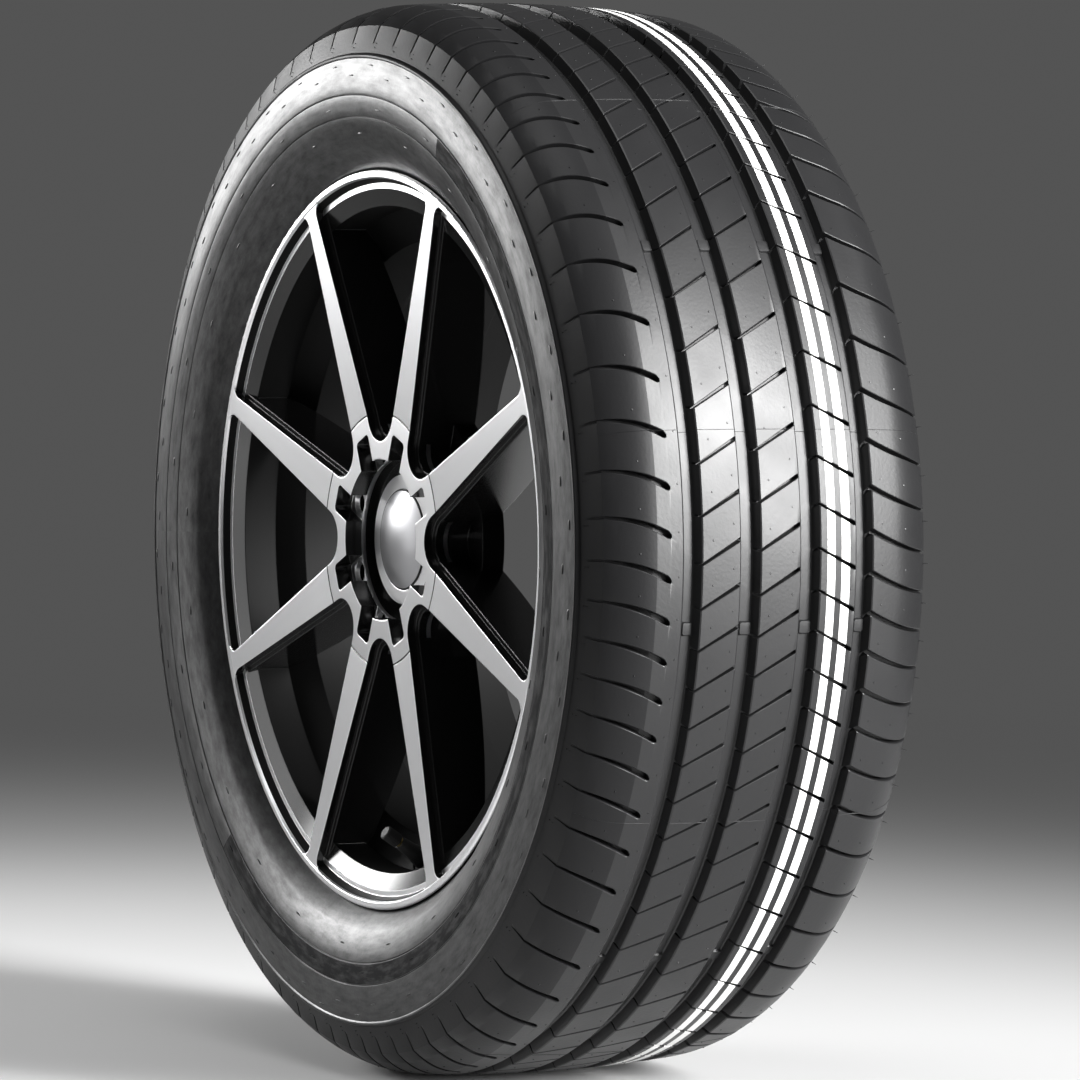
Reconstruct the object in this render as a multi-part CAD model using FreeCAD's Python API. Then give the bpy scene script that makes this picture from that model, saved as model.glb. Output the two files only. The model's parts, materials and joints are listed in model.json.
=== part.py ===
"""Car wheel with tyre: a road tyre on a cast alloy wheel with eight spokes, with its cap and valve.

The wheel spins about Y. The outboard face looks towards -Y, Z is up, and the origin is the
centre of the tyre's middle plane on the axis. All lengths are in millimetres.
"""
import FreeCAD, Part
import math
import os

V = FreeCAD.Vector
ORIGIN = V(0, 0, 0)
AXIS = V(0, 1, 0)

# Rim: width between the bead faces, bead seat, flange and drop centre
RIM_WIDTH = 203.2
BEAD_SEAT_R = 243.7
FLANGE_HEIGHT = 17.3
FLANGE_REACH = 11.4
FLANGE_CURL_R = 9.4
SEAT_FILLET_R = 6.0
SEAT_LENGTH = 21.6
SEAT_TAPER_DEG = 5.0
HUMP_HEIGHT = 0.8
HUMP_WIDTH = 7.0
WELL_DEPTH = 24.2
WELL_WIDTH = 36.0
WELL_WALL_RUN = 15.5
BARREL_DEPTH = 12.0
BARREL_WALL = 6.5
LIP_WIDTH = 5.0
LIP_STEP_WIDTH = 4.0
LIP_STEP_DEPTH = 6.6

# Spokes, windows and hub
SPOKES = 8
SPOKE_WIDTH_RIM = 13.5
SPOKE_WIDTH_HUB = 28.0
SPOKE_FACE_SET_BACK = 0.5
SPOKE_DEPTH_RIM = 38.0
SPOKE_BACK_SAG = 4.75
WINDOW_END_R = 20.0
WINDOW_CORNER_R = 9.0
WINDOW_LEDGE = 4.0
WINDOW_FLOOR_DEPTH = 32.0
HUB_FACE_DEPTH = 9.0
HUB_FACE_R = 90.0
HUB_LINE_WIDTH = 1.4
HUB_BODY_R = 97.0
HUB_PAD_R = 84.0
WHEEL_OFFSET = 55.0
RECESS_R = 57.0
RECESS_DEPTH = 24.0
LUG_COUNT = 8
LUG_CIRCLE = 130.0
LUG_HOLE_R = 6.5
LUG_SEAT_R = 8.0
LUG_SEAT_DEPTH = 3.0
LUG_POCKET_WIDTH = 20.0
LUG_POCKET_REACH = 77.0
LUG_POCKET_DEPTH = 13.0
LUG_POCKET_CORNER_R = 3.5
HUB_BORE_R = 35.8
HUB_BORE_LENGTH = 18.0
HUB_BORE_RELIEF = 0.6

# Centre cap and the collar that it snaps into
CAP_R = 35.6
CAP_RIM_THICK = 3.0
CAP_CROWN = 6.5
CAP_CROWN_SAG = 0.8
CAP_WALL = 2.6
CAP_LEGS = 6
CAP_LEG_R = 29.6
CAP_LEG_WALL = 2.2
CAP_LEG_SLOT = 5.0
CAP_BARB = 1.5
CAP_BARB_LENGTH = 2.4
CAP_CLEARANCE = 0.4
COLLAR_WALL = 10.0
COLLAR_HEIGHT = 6.0
CAP_SHELF_THICK = 5.0
SPRING_WIRE_R = 0.75

# Tyre: overall size, section and tread
TYRE_OUTER_DIAMETER = 763.0
TYRE_SECTION_WIDTH = 265.0
TREAD_WIDTH = 208.0
TREAD_EDGE_DROP = 5.2
OUTER_GROOVE_DROP = 2.0
SHOULDER_WIDTH = 17.0
SHOULDER_DROP = 20.0
BUTTRESS_WIDTH = 7.5
BUTTRESS_DROP = 40.0
RIDGE_HEIGHT = 1.2
WIDEST_HEIGHT_SHARE = 0.4647
RIM_EDGE_ABOVE_FLANGE = 13.0
RIM_EDGE_INSET = 11.0
FLANGE_WRAP_DEG = 105.0
TREAD_THICK = 16.0
SIDEWALL_THICK = 9.0
BEAD_WIDTH = 20.0
TOE_THICK = 4.5
LINER_CURVE_R = 27.0
LINER_CURVE_DEG = 40.0
BEAD_CLEARANCE = 0.2
GROOVE_DEPTH = 8.0
GROOVE_WALL_DEG = 23.0
INNER_GROOVE_AT = 22.5
INNER_GROOVE_WIDTH = 14.6
OUTER_GROOVE_AT = 64.7
OUTER_GROOVE_WIDTH = 13.0
WEAR_BARS = 9
FIRST_BAR_DEG = -7.7
BAR_LENGTH = 9.0
BAR_HEIGHT = 1.8

# Lateral cuts: their pitch swells and shrinks round the tyre, and each rib leans its cuts its own way
PITCHES = 76
PITCH_SWING = 0.26
PITCH_CYCLES = 4
LONG_PITCH_DEG = 28.0
FIRST_CUT_DEG = 1.97
CUT_DEPTH = 6.0
SHOULDER_CUT_DEPTH = 2.5
# Each cut as points (y, shift along the tread, half width), all as shares of half the tread's width
OUTBOARD_SHOULDER_CUT = [(-1.221, 0.106, 0.0125), (-1.096, 0.058, 0.0173), (-0.962, 0.046, 0.0221),
                         (-0.846, 0.026, 0.026), (-0.793, 0.0096, 0.0269), (-0.769, 0.001, 0.0115)]
RIB_CUTS = [
    [(-0.596, 0.0856, 0.0077), (-0.25, 0.3144, 0.0125)],
    [(-0.1827, 0.1615, 0.0077), (0.1279, 0.3529, 0.0135)],
    [(0.25, 0.1933, 0.0077), (0.5471, 0.0298, 0.0144)],
]
INBOARD_SHOULDER_CUT = [(0.6442, 0.2606, 0.0173), (1.1346, 0.0096, 0.0077)]

# Snap-in valve, measured along its own axis from the rim's visible wall
VALVE_HOLE_R = 5.65
VALVE_SEAT_R = 10.0
VALVE_SEAT_WALL = 4.5
FIT_GAP = 0.05
VALVE_BULB_R = 8.2
VALVE_BULB_LENGTH = 9.0
VALVE_COLLAR_R = 7.4
VALVE_RUBBER_LENGTH = 22.0
VALVE_RUBBER_MID_R = 5.6
VALVE_RUBBER_TIP_R = 4.6
STEM_R = 2.6
STEM_BORE_R = 1.5
STEM_HEAD_R = 3.85
STEM_HEAD_LENGTH = 11.0
STEM_CHAMFER = 0.5
CORE_R = 2.3
CORE_LENGTH = 7.0
CORE_BELOW_TIP = 1.6
CORE_SHELF = 2.0
CORE_WALL = 0.6
PIN_R = 0.7
PIN_HEAD_R = 1.3
PIN_HEAD_THICK = 0.6
PIN_TIP = 1.2
PIN_CLEARANCE = 0.05
PIN_TRAVEL = 1.5
SEAL_THICK = 1.6
CORE_SPRING_WIRE_R = 0.16
CORE_SPRING_TURNS = 4
CORE_SPRING_SIDES = 8
VALVE_CAP_R = 5.2
VALVE_CAP_SKIRT = 9.5
VALVE_CAP_TOP = 1.7
VALVE_CAP_RIBS = 18
VALVE_CAP_RIB_R = 0.5
CAP_THREAD_CLEARANCE = 0.08
GASKET_THICK = 1.2

# Stations that follow from the sizes above
BEAD_FACE_Y = RIM_WIDTH / 2
FLANGE_Y = BEAD_FACE_Y + FLANGE_REACH
FLANGE_R = BEAD_SEAT_R + FLANGE_HEIGHT
CURL_Y = BEAD_FACE_Y + FLANGE_CURL_R
CURL_R = FLANGE_R - FLANGE_CURL_R
LIP_R = FLANGE_R - LIP_WIDTH
STEP_R = LIP_R - LIP_STEP_WIDTH
LEDGE_R = STEP_R - LIP_STEP_WIDTH
SEAT_FALL = math.tan(math.radians(SEAT_TAPER_DEG))
SEAT_END_Y = BEAD_FACE_Y - SEAT_LENGTH
SEAT_END_R = BEAD_SEAT_R - (SEAT_LENGTH - SEAT_FILLET_R) * SEAT_FALL
WELL_R = BEAD_SEAT_R - WELL_DEPTH
WELL_TOP_Y = SEAT_END_Y - HUMP_WIDTH
FACE_Y = -FLANGE_Y + SPOKE_FACE_SET_BACK
HUB_FACE_Y = -FLANGE_Y + HUB_FACE_DEPTH
PAD_Y = -WHEEL_OFFSET
RECESS_Y = HUB_FACE_Y + RECESS_DEPTH
COLLAR_Y = RECESS_Y - COLLAR_HEIGHT
CAP_SEAT_R = CAP_R + CAP_CLEARANCE
CAP_SEAT_Y = COLLAR_Y + CAP_RIM_THICK
CAP_SHELF_Y = CAP_SEAT_Y + CAP_SHELF_THICK
CAP_BORE_R = CAP_LEG_R + CAP_CLEARANCE
CAP_LEG_END_Y = CAP_SHELF_Y + CAP_CLEARANCE + CAP_BARB_LENGTH
STEM_TIP = VALVE_RUBBER_LENGTH + STEM_HEAD_LENGTH
CORE_TOP = STEM_TIP - CORE_BELOW_TIP
CORE_BOTTOM = CORE_TOP - CORE_LENGTH
CORE_FLOOR = CORE_BOTTOM + CORE_SHELF
PIN_HEAD_AT = CORE_TOP - PIN_HEAD_THICK - CORE_WALL


def section_wire(points):
    """A closed wire in the plane X = 0. Each point is (y, r, sag): the sag of the arc that leads to it,
    bulging to the left of the way travelled, or 0 for a straight run. The last point meets the first."""
    edges = []
    for (y0, r0, _), (y1, r1, sag) in zip([points[-1]] + points[:-1], points):
        a, b = V(0, y0, r0), V(0, y1, r1)
        if sag == 0:
            edges.append(Part.makeLine(a, b))
            continue
        along = (b - a).normalize()
        left = V(0, -along.z, along.y)
        middle = (a + b) * 0.5 + left * sag
        edges.append(Part.Arc(a, middle, b).toShape())
    return Part.Wire(edges)


def turned(points):
    """The solid of revolution of a section about the wheel's axis."""
    return Part.Face(section_wire(points)).revolve(ORIGIN, AXIS, 360)


def mirrored(half):
    """A section symmetrical about the middle plane, from its half on the +Y side. The half starts and
    ends on the middle plane, and each arc keeps its sag, because the mirror and the way back cancel."""
    start = (half[0][0], half[0][1], half[1][2])
    back = [(-half[i][0], half[i][1], half[i + 1][2]) for i in range(len(half) - 2, 0, -1)]
    return [start] + half[1:] + back


def arc_sag(radius, turn_deg):
    """Height of an arc over its chord, from its radius and the angle that it turns through."""
    return radius * (1 - math.cos(math.radians(turn_deg) / 2))


def tangent_sag(start, end, slope_deg):
    """Sag of the arc that leaves start at slope_deg and ends at end."""
    dy, dr = end[0] - start[0], end[1] - start[1]
    turn = math.radians(slope_deg) - math.atan2(dr, dy)
    return math.hypot(dy, dr) / 2 * math.tan(turn / 2)


def polar(y, r, radius, deg):
    """A point of a circle about (y, r), counted from +Y towards the tread."""
    a = math.radians(deg)
    return y + radius * math.cos(a), r + radius * math.sin(a)


def around(shape, count, first_deg=0.0):
    """Copies of a shape spaced evenly about the wheel's axis, as one compound."""
    copies = []
    for i in range(count):
        copy = shape.copy()
        copy.rotate(ORIGIN, AXIS, first_deg + i * 360.0 / count)
        copies.append(copy)
    return Part.makeCompound(copies)


def cylinder(r, y0, y1):
    """A cylinder about the wheel's axis between two stations."""
    return Part.makeCylinder(r, y1 - y0, V(0, y0, 0), AXIS)


def crown_points(lowered):
    """The crown on the +Y side as (y, radius), moved in by a distance: straight from the middle of one
    groove to the next, so that each rib is a piece of a cylinder or cone."""
    top = TYRE_OUTER_DIAMETER / 2 - lowered
    return [
        (0, top),
        (INNER_GROOVE_AT, top),
        (OUTER_GROOVE_AT, top - OUTER_GROOVE_DROP),
        (TREAD_WIDTH / 2, top - TREAD_EDGE_DROP),
    ]


def groove_centre_r(y):
    """Radius of the crown at the middle of a groove."""
    return dict(crown_points(0))[abs(y)]


def tyre_half_section():
    """The tyre's section on the +Y side: crown, shoulder, sidewall, bead, and the inner liner back."""
    crown = TYRE_OUTER_DIAMETER / 2
    edge = TREAD_WIDTH / 2
    before_edge, tread_edge = crown_points(0)[-2:]
    edge_slope = math.degrees(math.atan2(tread_edge[1] - before_edge[1], tread_edge[0] - before_edge[0]))
    shoulder = (edge + SHOULDER_WIDTH, crown - SHOULDER_DROP)
    ridge_foot = (shoulder[0] + BUTTRESS_WIDTH, crown - BUTTRESS_DROP)
    ridge = (ridge_foot[0] + RIDGE_HEIGHT, ridge_foot[1] - RIDGE_HEIGHT)
    widest = (TYRE_SECTION_WIDTH / 2, FLANGE_R + WIDEST_HEIGHT_SHARE * (crown - FLANGE_R))
    rim_edge = (widest[0] - RIM_EDGE_INSET, FLANGE_R + RIM_EDGE_ABOVE_FLANGE)
    curl = FLANGE_CURL_R + BEAD_CLEARANCE
    over_flange = polar(CURL_Y, CURL_R, curl, FLANGE_WRAP_DEG)
    beside_curl = polar(CURL_Y, CURL_R, curl, 180)
    heel = SEAT_FILLET_R - BEAD_CLEARANCE
    heel_y, heel_r = BEAD_FACE_Y - SEAT_FILLET_R, BEAD_SEAT_R + SEAT_FILLET_R
    heel_top = polar(heel_y, heel_r, heel, 0)
    heel_foot = polar(heel_y, heel_r, heel, -90)
    toe_y = BEAD_FACE_Y - BEAD_WIDTH
    toe = (toe_y, heel_foot[1] - (heel_foot[0] - toe_y) * SEAT_FALL)
    inner_toe = (toe_y, toe[1] + TOE_THICK)
    inner_rim = (rim_edge[0] - SIDEWALL_THICK, rim_edge[1])
    inner_widest = (widest[0] - SIDEWALL_THICK, widest[1])
    liner = list(reversed(crown_points(TREAD_THICK)))
    return [(y, r, 0) for y, r in crown_points(0)] + [
        (*shoulder, tangent_sag(tread_edge, shoulder, edge_slope)),
        (*ridge_foot, 0),
        (*ridge, 0),
        (*widest, -tangent_sag(widest, ridge, 90)),
        (*rim_edge, tangent_sag(widest, rim_edge, -90)),
        (*over_flange, 0),
        (*beside_curl, -arc_sag(curl, 180 - FLANGE_WRAP_DEG)),
        (*heel_top, 0),
        (*heel_foot, arc_sag(heel, 90)),
        (*toe, 0),
        (*inner_toe, 0),
        (*inner_rim, -arc_sag(LINER_CURVE_R, LINER_CURVE_DEG)),
        (*inner_widest, tangent_sag(inner_widest, inner_rim, -90)),
        (*liner[0], -tangent_sag(inner_widest, liner[0], 90)),
    ] + [(y, r, 0) for y, r in liner[1:]]


def groove_ring(y, width):
    """The ring cut out by one circumferential groove: a trapezium with sloping walls, open at the tread."""
    top = groove_centre_r(y) + GROOVE_DEPTH
    floor = groove_centre_r(y) - GROOVE_DEPTH
    run = math.tan(math.radians(GROOVE_WALL_DEG))
    half_top = width / 2 + GROOVE_DEPTH * run
    half_floor = width / 2 - GROOVE_DEPTH * run
    return turned([(y - half_floor, floor, 0), (y - half_top, top, 0), (y + half_top, top, 0),
                   (y + half_floor, floor, 0)])


def barred_groove(y, width):
    """A groove that leaves the wear bars standing on its floor."""
    floor = groove_centre_r(y) - GROOVE_DEPTH
    bar = Part.makeBox(2 * BAR_HEIGHT, width, BAR_LENGTH,
                       V(floor - BAR_HEIGHT, y - width / 2, -BAR_LENGTH / 2))
    return groove_ring(y, width).cut(around(bar, WEAR_BARS, -FIRST_BAR_DEG))


def cut_degrees():
    """Angles of all lateral cuts from +X towards +Z. Their count rises with the angle, slower where the
    pitch is long; each angle is found from its number by a few rounds of substitution."""
    def wave(deg):
        turn = math.radians(PITCH_CYCLES * (deg - LONG_PITCH_DEG))
        return math.degrees(PITCH_SWING / PITCH_CYCLES * math.sin(turn))

    degrees = []
    for i in range(PITCHES):
        even = FIRST_CUT_DEG - wave(FIRST_CUT_DEG) + i * 360.0 / PITCHES
        deg = even
        for _ in range(40):
            deg = even + wave(deg)
        degrees.append(deg)
    return degrees


def tread_skin():
    """The ring that lateral cuts may take: from a floor under the tread and the shoulders, outwards."""
    crown = TYRE_OUTER_DIAMETER / 2
    side = TREAD_WIDTH / 2 + SHOULDER_WIDTH
    foot = side + BUTTRESS_WIDTH
    beyond = crown + CUT_DEPTH
    half = [
        (0, beyond, 0),
        (foot + BUTTRESS_WIDTH, beyond, 0),
        (foot + BUTTRESS_WIDTH, crown - BUTTRESS_DROP, 0),
        (foot - SHOULDER_CUT_DEPTH, crown - BUTTRESS_DROP, 0),
        (side - SHOULDER_CUT_DEPTH, crown - SHOULDER_DROP - SHOULDER_CUT_DEPTH, 0),
    ] + [(y, r, 0) for y, r in reversed(crown_points(CUT_DEPTH))]
    return turned(mirrored(half))


def lateral_cut(path, skin):
    """One lateral cut at angle 0: a strip along the path, as wide as its half widths say, taken radially
    out of the skin."""
    bottom = TYRE_OUTER_DIAMETER / 2 - 2 * BUTTRESS_DROP
    unit = TREAD_WIDTH / 2
    up = [V(bottom, y * unit, (shift + half) * unit) for y, shift, half in path]
    down = [V(bottom, y * unit, (shift - half) * unit) for y, shift, half in reversed(path)]
    strip = Part.Face(Part.makePolygon(up + down + up[:1]))
    return strip.extrude(V(TYRE_OUTER_DIAMETER / 2 - bottom + CUT_DEPTH, 0, 0)).common(skin)


def make_tyre():
    tyre = turned(mirrored(tyre_half_section()))
    grooves = [
        barred_groove(-OUTER_GROOVE_AT, OUTER_GROOVE_WIDTH),
        barred_groove(-INNER_GROOVE_AT, INNER_GROOVE_WIDTH),
        barred_groove(INNER_GROOVE_AT, INNER_GROOVE_WIDTH),
        barred_groove(OUTER_GROOVE_AT, OUTER_GROOVE_WIDTH),
    ]
    tyre = tyre.cut(grooves)
    skin = tread_skin()
    cuts = []
    for path in [OUTBOARD_SHOULDER_CUT, *RIB_CUTS, INBOARD_SHOULDER_CUT]:
        tool = lateral_cut(path, skin)
        for deg in cut_degrees():
            copy = tool.copy()
            copy.rotate(ORIGIN, AXIS, -deg)
            cuts.append(copy)
    return tyre.cut(cuts)


def well_wall():
    """Both ends of the well's outboard wall on the tyre side, and the normal towards the visible side."""
    top = (-WELL_TOP_Y, SEAT_END_R)
    foot = (-WELL_TOP_Y + WELL_WALL_RUN, WELL_R)
    dy, dr = foot[0] - top[0], foot[1] - top[1]
    length = math.hypot(dy, dr)
    return top, foot, (dr / length, -dy / length)


def flange_points(side):
    """Rim section round one flange, from the seat's inner end to the flange's face, for side +1 or -1.
    The arcs of the two sides are mirror images, so they bulge the other way."""
    heel_y, heel_r = BEAD_FACE_Y - SEAT_FILLET_R, BEAD_SEAT_R + SEAT_FILLET_R
    seat_top = polar(heel_y, heel_r, SEAT_FILLET_R, -90)
    face_foot = polar(heel_y, heel_r, SEAT_FILLET_R, 0)
    curl_foot = polar(CURL_Y, CURL_R, FLANGE_CURL_R, 180)
    curl_top = polar(CURL_Y, CURL_R, FLANGE_CURL_R, 90)
    tip = FLANGE_Y - CURL_Y
    half = [
        (SEAT_END_Y, SEAT_END_R, 0),
        (*seat_top, 0),
        (*face_foot, -arc_sag(SEAT_FILLET_R, 90)),
        (*curl_foot, 0),
        (*curl_top, arc_sag(FLANGE_CURL_R, 90)),
        (FLANGE_Y, FLANGE_R - tip, arc_sag(tip, 90)),
        (FLANGE_Y, LIP_R, 0),
    ]
    return half if side > 0 else [(-y, r, sag) for y, r, sag in half]


def rim_section():
    """The rim's closed section: tyre side from the outboard flange to the inboard one, then the inside
    of the barrel back to the stepped lip that shows round the windows."""
    top, foot, normal = well_wall()
    hump_y, hump_r = SEAT_END_Y - HUMP_WIDTH / 2, SEAT_END_R + HUMP_HEIGHT
    barrel_r = BEAD_SEAT_R - BARREL_DEPTH
    well_end = foot[0] + WELL_WIDTH
    barrel_start = well_end + WELL_DEPTH - BARREL_DEPTH
    barrel_end = WELL_TOP_Y - BARREL_DEPTH / 2
    under_seat = SEAT_END_R - BARREL_WALL
    out = flange_points(-1)
    outboard = [(*out[-1][:2], 0)]
    for before, point in zip(reversed(out), list(reversed(out))[1:]):
        outboard.append((point[0], point[1], before[2]))
    wall_in_top = (top[0] + normal[0] * BARREL_WALL, top[1] + normal[1] * BARREL_WALL)
    wall_in_foot = (foot[0] + normal[0] * BARREL_WALL, foot[1] + normal[1] * BARREL_WALL)
    slope = (wall_in_foot[0] - wall_in_top[0]) / (wall_in_foot[1] - wall_in_top[1])
    wall_in_y = wall_in_top[0] + (under_seat - wall_in_top[1]) * slope
    return outboard + [
        (-hump_y, hump_r, 0),
        (*top, 0),
        (*foot, 0),
        (well_end, WELL_R, 0),
        (barrel_start, barrel_r, 0),
        (barrel_end, barrel_r, 0),
        (WELL_TOP_Y, SEAT_END_R, 0),
        (hump_y, hump_r, 0),
    ] + flange_points(1) + [
        (BEAD_FACE_Y, under_seat, 0),
        (WELL_TOP_Y, under_seat, 0),
        (barrel_end, barrel_r - BARREL_WALL, 0),
        (barrel_start, barrel_r - BARREL_WALL, 0),
        (well_end, WELL_R - BARREL_WALL, 0),
        (wall_in_foot[0], WELL_R - BARREL_WALL, 0),
        (wall_in_y, under_seat, 0),
        (-BEAD_FACE_Y, under_seat, 0),
        (-FLANGE_Y + LIP_STEP_DEPTH, LEDGE_R, 0),
        (-FLANGE_Y + LIP_STEP_DEPTH, STEP_R, 0),
    ]


def disc_section():
    """Section of the disc that the spokes are cut from, hub included, kept inside the rim's own metal."""
    in_lip = LIP_R + LIP_WIDTH / 4
    in_seat = SEAT_END_R - BARREL_WALL / 2
    back_y = FACE_Y + SPOKE_DEPTH_RIM
    return [
        (HUB_FACE_Y, 0, 0),
        (HUB_FACE_Y, HUB_FACE_R, 0),
        (FACE_Y, in_lip, 0),
        (-CURL_Y + FLANGE_CURL_R / 2, in_lip, 0),
        (-BEAD_FACE_Y, LEDGE_R, 0),
        (-BEAD_FACE_Y + SEAT_FILLET_R, in_seat, 0),
        (back_y, in_seat, 0),
        (PAD_Y, HUB_PAD_R, SPOKE_BACK_SAG),
        (PAD_Y, 0, 0),
    ]


def window_outline(inset):
    """A window between two spokes as a face in the plane Y = 0, centred on +Z: a rounded inner end tangent
    to both spokes, rounded outer corners, and the arc of the rim. An inset makes it narrower all round."""
    half_pitch = math.pi / SPOKES
    rise = V(math.sin(half_pitch), 0, math.cos(half_pitch))
    side = V(-math.cos(half_pitch), 0, math.sin(half_pitch))
    hub_point = rise * HUB_FACE_R + side * (SPOKE_WIDTH_HUB / 2)
    rim_point = rise * LIP_R + side * (SPOKE_WIDTH_RIM / 2)
    along = (rim_point - hub_point).normalize()
    inward = V(-along.z, 0, along.x)
    hub_point = hub_point + inward * inset
    apex_z = hub_point.z - hub_point.x * along.z / along.x
    end_r = WINDOW_END_R - inset
    end_centre = V(0, 0, apex_z + end_r / along.x)
    end_low = V(0, 0, end_centre.z - end_r)
    end_touch = end_centre - inward * end_r
    outer_r = LIP_R - inset
    corner_r = WINDOW_CORNER_R - inset
    track = hub_point + inward * corner_r
    along_track = track.dot(along)
    reach = math.sqrt(along_track ** 2 - track.dot(track) + (outer_r - corner_r) ** 2)
    corner = track + along * (reach - along_track)
    corner_touch = corner - inward * corner_r
    corner_out = corner * (outer_r / (outer_r - corner_r))
    corner_middle = corner + ((corner_touch + corner_out) * 0.5 - corner).normalize() * corner_r

    def flip(p):
        return V(-p.x, 0, p.z)

    edges = [
        Part.Arc(flip(end_touch), end_low, end_touch).toShape(),
        Part.makeLine(end_touch, corner_touch),
        Part.Arc(corner_touch, corner_middle, corner_out).toShape(),
        Part.Arc(corner_out, V(0, 0, outer_r), flip(corner_out)).toShape(),
        Part.Arc(flip(corner_out), flip(corner_middle), flip(corner_touch)).toShape(),
        Part.makeLine(flip(corner_touch), flip(end_touch)),
    ]
    return Part.Face(Part.Wire(edges))


def window_tool():
    """What one window takes out of the disc: a shallow recess down to a ledge that follows the spoke's
    face, a deep pocket inside it, and the way right through, which stops short of the hub's pad."""
    front = -FLANGE_Y - WINDOW_FLOOR_DEPTH
    length = RIM_WIDTH + 2 * WINDOW_FLOOR_DEPTH
    wide = window_outline(0)
    wide.translate(V(0, front, 0))
    narrow = window_outline(WINDOW_LEDGE)
    narrow.translate(V(0, front, 0))
    above_ledge = turned([
        (front, 0, 0),
        (front, FLANGE_R, 0),
        (FACE_Y + LIP_STEP_DEPTH, FLANGE_R, 0),
        (FACE_Y + LIP_STEP_DEPTH, LIP_R, 0),
        (HUB_FACE_Y + LIP_STEP_DEPTH, HUB_FACE_R, 0),
        (HUB_FACE_Y + LIP_STEP_DEPTH, 0, 0),
    ])
    recess = wide.extrude(V(0, length, 0)).common(above_ledge)
    deep = narrow.extrude(V(0, length, 0))
    pocket = deep.common(cylinder(HUB_BODY_R, front, HUB_FACE_Y + WINDOW_FLOOR_DEPTH))
    through = deep.cut(cylinder(HUB_BODY_R, front, front + length))
    return recess.fuse([pocket, through])


def lug_pocket():
    """One lug pocket on the axis +Z: a slot with rounded corners that opens into the hub's recess."""
    half = LUG_POCKET_WIDTH / 2
    slot = Part.makeBox(LUG_POCKET_WIDTH, LUG_POCKET_DEPTH + HUB_FACE_DEPTH, LUG_POCKET_REACH - CAP_R,
                        V(-half, -FLANGE_Y, CAP_R))
    corners = [edge for edge in slot.Edges
               if all(abs(v.Z - LUG_POCKET_REACH) < 1e-6 for v in edge.Vertexes)
               and abs(edge.Vertexes[0].X - edge.Vertexes[1].X) < 1e-6]
    collar = cylinder(RECESS_R - COLLAR_WALL, -FLANGE_Y, PAD_Y)
    return slot.makeFillet(LUG_POCKET_CORNER_R, corners).cut(collar)


def lug_hole():
    """One lug hole on the axis +Z, with its conical seat in the floor of the pocket."""
    floor_y = HUB_FACE_Y + LUG_POCKET_DEPTH
    at = V(0, floor_y, LUG_CIRCLE / 2)
    hole = Part.makeCylinder(LUG_HOLE_R, PAD_Y - floor_y, at, AXIS)
    seat = Part.makeCone(LUG_SEAT_R, LUG_HOLE_R, LUG_SEAT_DEPTH, at, AXIS)
    return hole.fuse(seat)


def hub_cuts():
    """Turned cuts in the hub: the recess round the collar, the cap's seat and bore, the spigot bore and
    the fine line where the spokes meet the hub."""
    recess = cylinder(RECESS_R, -FLANGE_Y, RECESS_Y).cut(
        cylinder(CAP_SEAT_R + COLLAR_WALL, COLLAR_Y, RECESS_Y))
    cap_seat = cylinder(CAP_SEAT_R, -FLANGE_Y, CAP_SEAT_Y)
    cap_bore = cylinder(CAP_BORE_R, CAP_SEAT_Y, PAD_Y)
    spigot = cylinder(HUB_BORE_R, PAD_Y - HUB_BORE_LENGTH, PAD_Y)
    relief = cylinder(HUB_BORE_R + HUB_BORE_RELIEF, CAP_SHELF_Y, PAD_Y - HUB_BORE_LENGTH)
    line = turned([
        (HUB_FACE_Y - HUB_LINE_WIDTH, HUB_FACE_R - HUB_LINE_WIDTH, 0),
        (HUB_FACE_Y - HUB_LINE_WIDTH, HUB_FACE_R + HUB_LINE_WIDTH, 0),
        (HUB_FACE_Y + HUB_LINE_WIDTH / 2, HUB_FACE_R, 0),
    ])
    return [recess, cap_seat, cap_bore, spigot, relief, line]


def valve_place():
    """Placement of the valve: its foot on the well's visible wall at the bottom of the wheel, its axis
    square to that wall, towards the hub and the outboard face."""
    top, foot, normal = well_wall()
    y = (top[0] + foot[0]) / 2 + normal[0] * BARREL_WALL
    r = (top[1] + foot[1]) / 2 + normal[1] * BARREL_WALL
    axis = V(0, normal[0], -normal[1])
    return FreeCAD.Placement(V(0, y, -r), FreeCAD.Rotation(V(0, 0, 1), axis))


def on_valve(shape):
    """A piece modelled along +Z from the rim's visible wall, set in its place on the wheel."""
    placed = shape.copy()
    placed.Placement = valve_place()
    return placed


def valve_hole():
    """The valve's hole with a flat seat spot-faced on both sides of the well's wall."""
    seat = VALVE_SEAT_WALL
    inset = (BARREL_WALL - seat) / 2
    hole = Part.makeCylinder(VALVE_HOLE_R, 4 * BARREL_WALL, V(0, 0, -2 * BARREL_WALL))
    shown = Part.makeCylinder(VALVE_SEAT_R, BARREL_WALL, V(0, 0, -inset))
    hidden = Part.makeCylinder(VALVE_SEAT_R, BARREL_WALL, V(0, 0, -inset - seat - BARREL_WALL))
    return on_valve(hole.fuse([shown, hidden]))


def make_alloy_wheel():
    disc = turned(disc_section())
    disc = disc.cut(around(window_tool(), SPOKES))
    wheel = disc.fuse(turned(rim_section()))
    first_spoke = 180.0 / SPOKES
    lugs = [around(lug_pocket(), LUG_COUNT, first_spoke), around(lug_hole(), LUG_COUNT, first_spoke)]
    wheel = wheel.cut(hub_cuts() + lugs + [valve_hole()])
    return wheel.removeSplitter()


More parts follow.
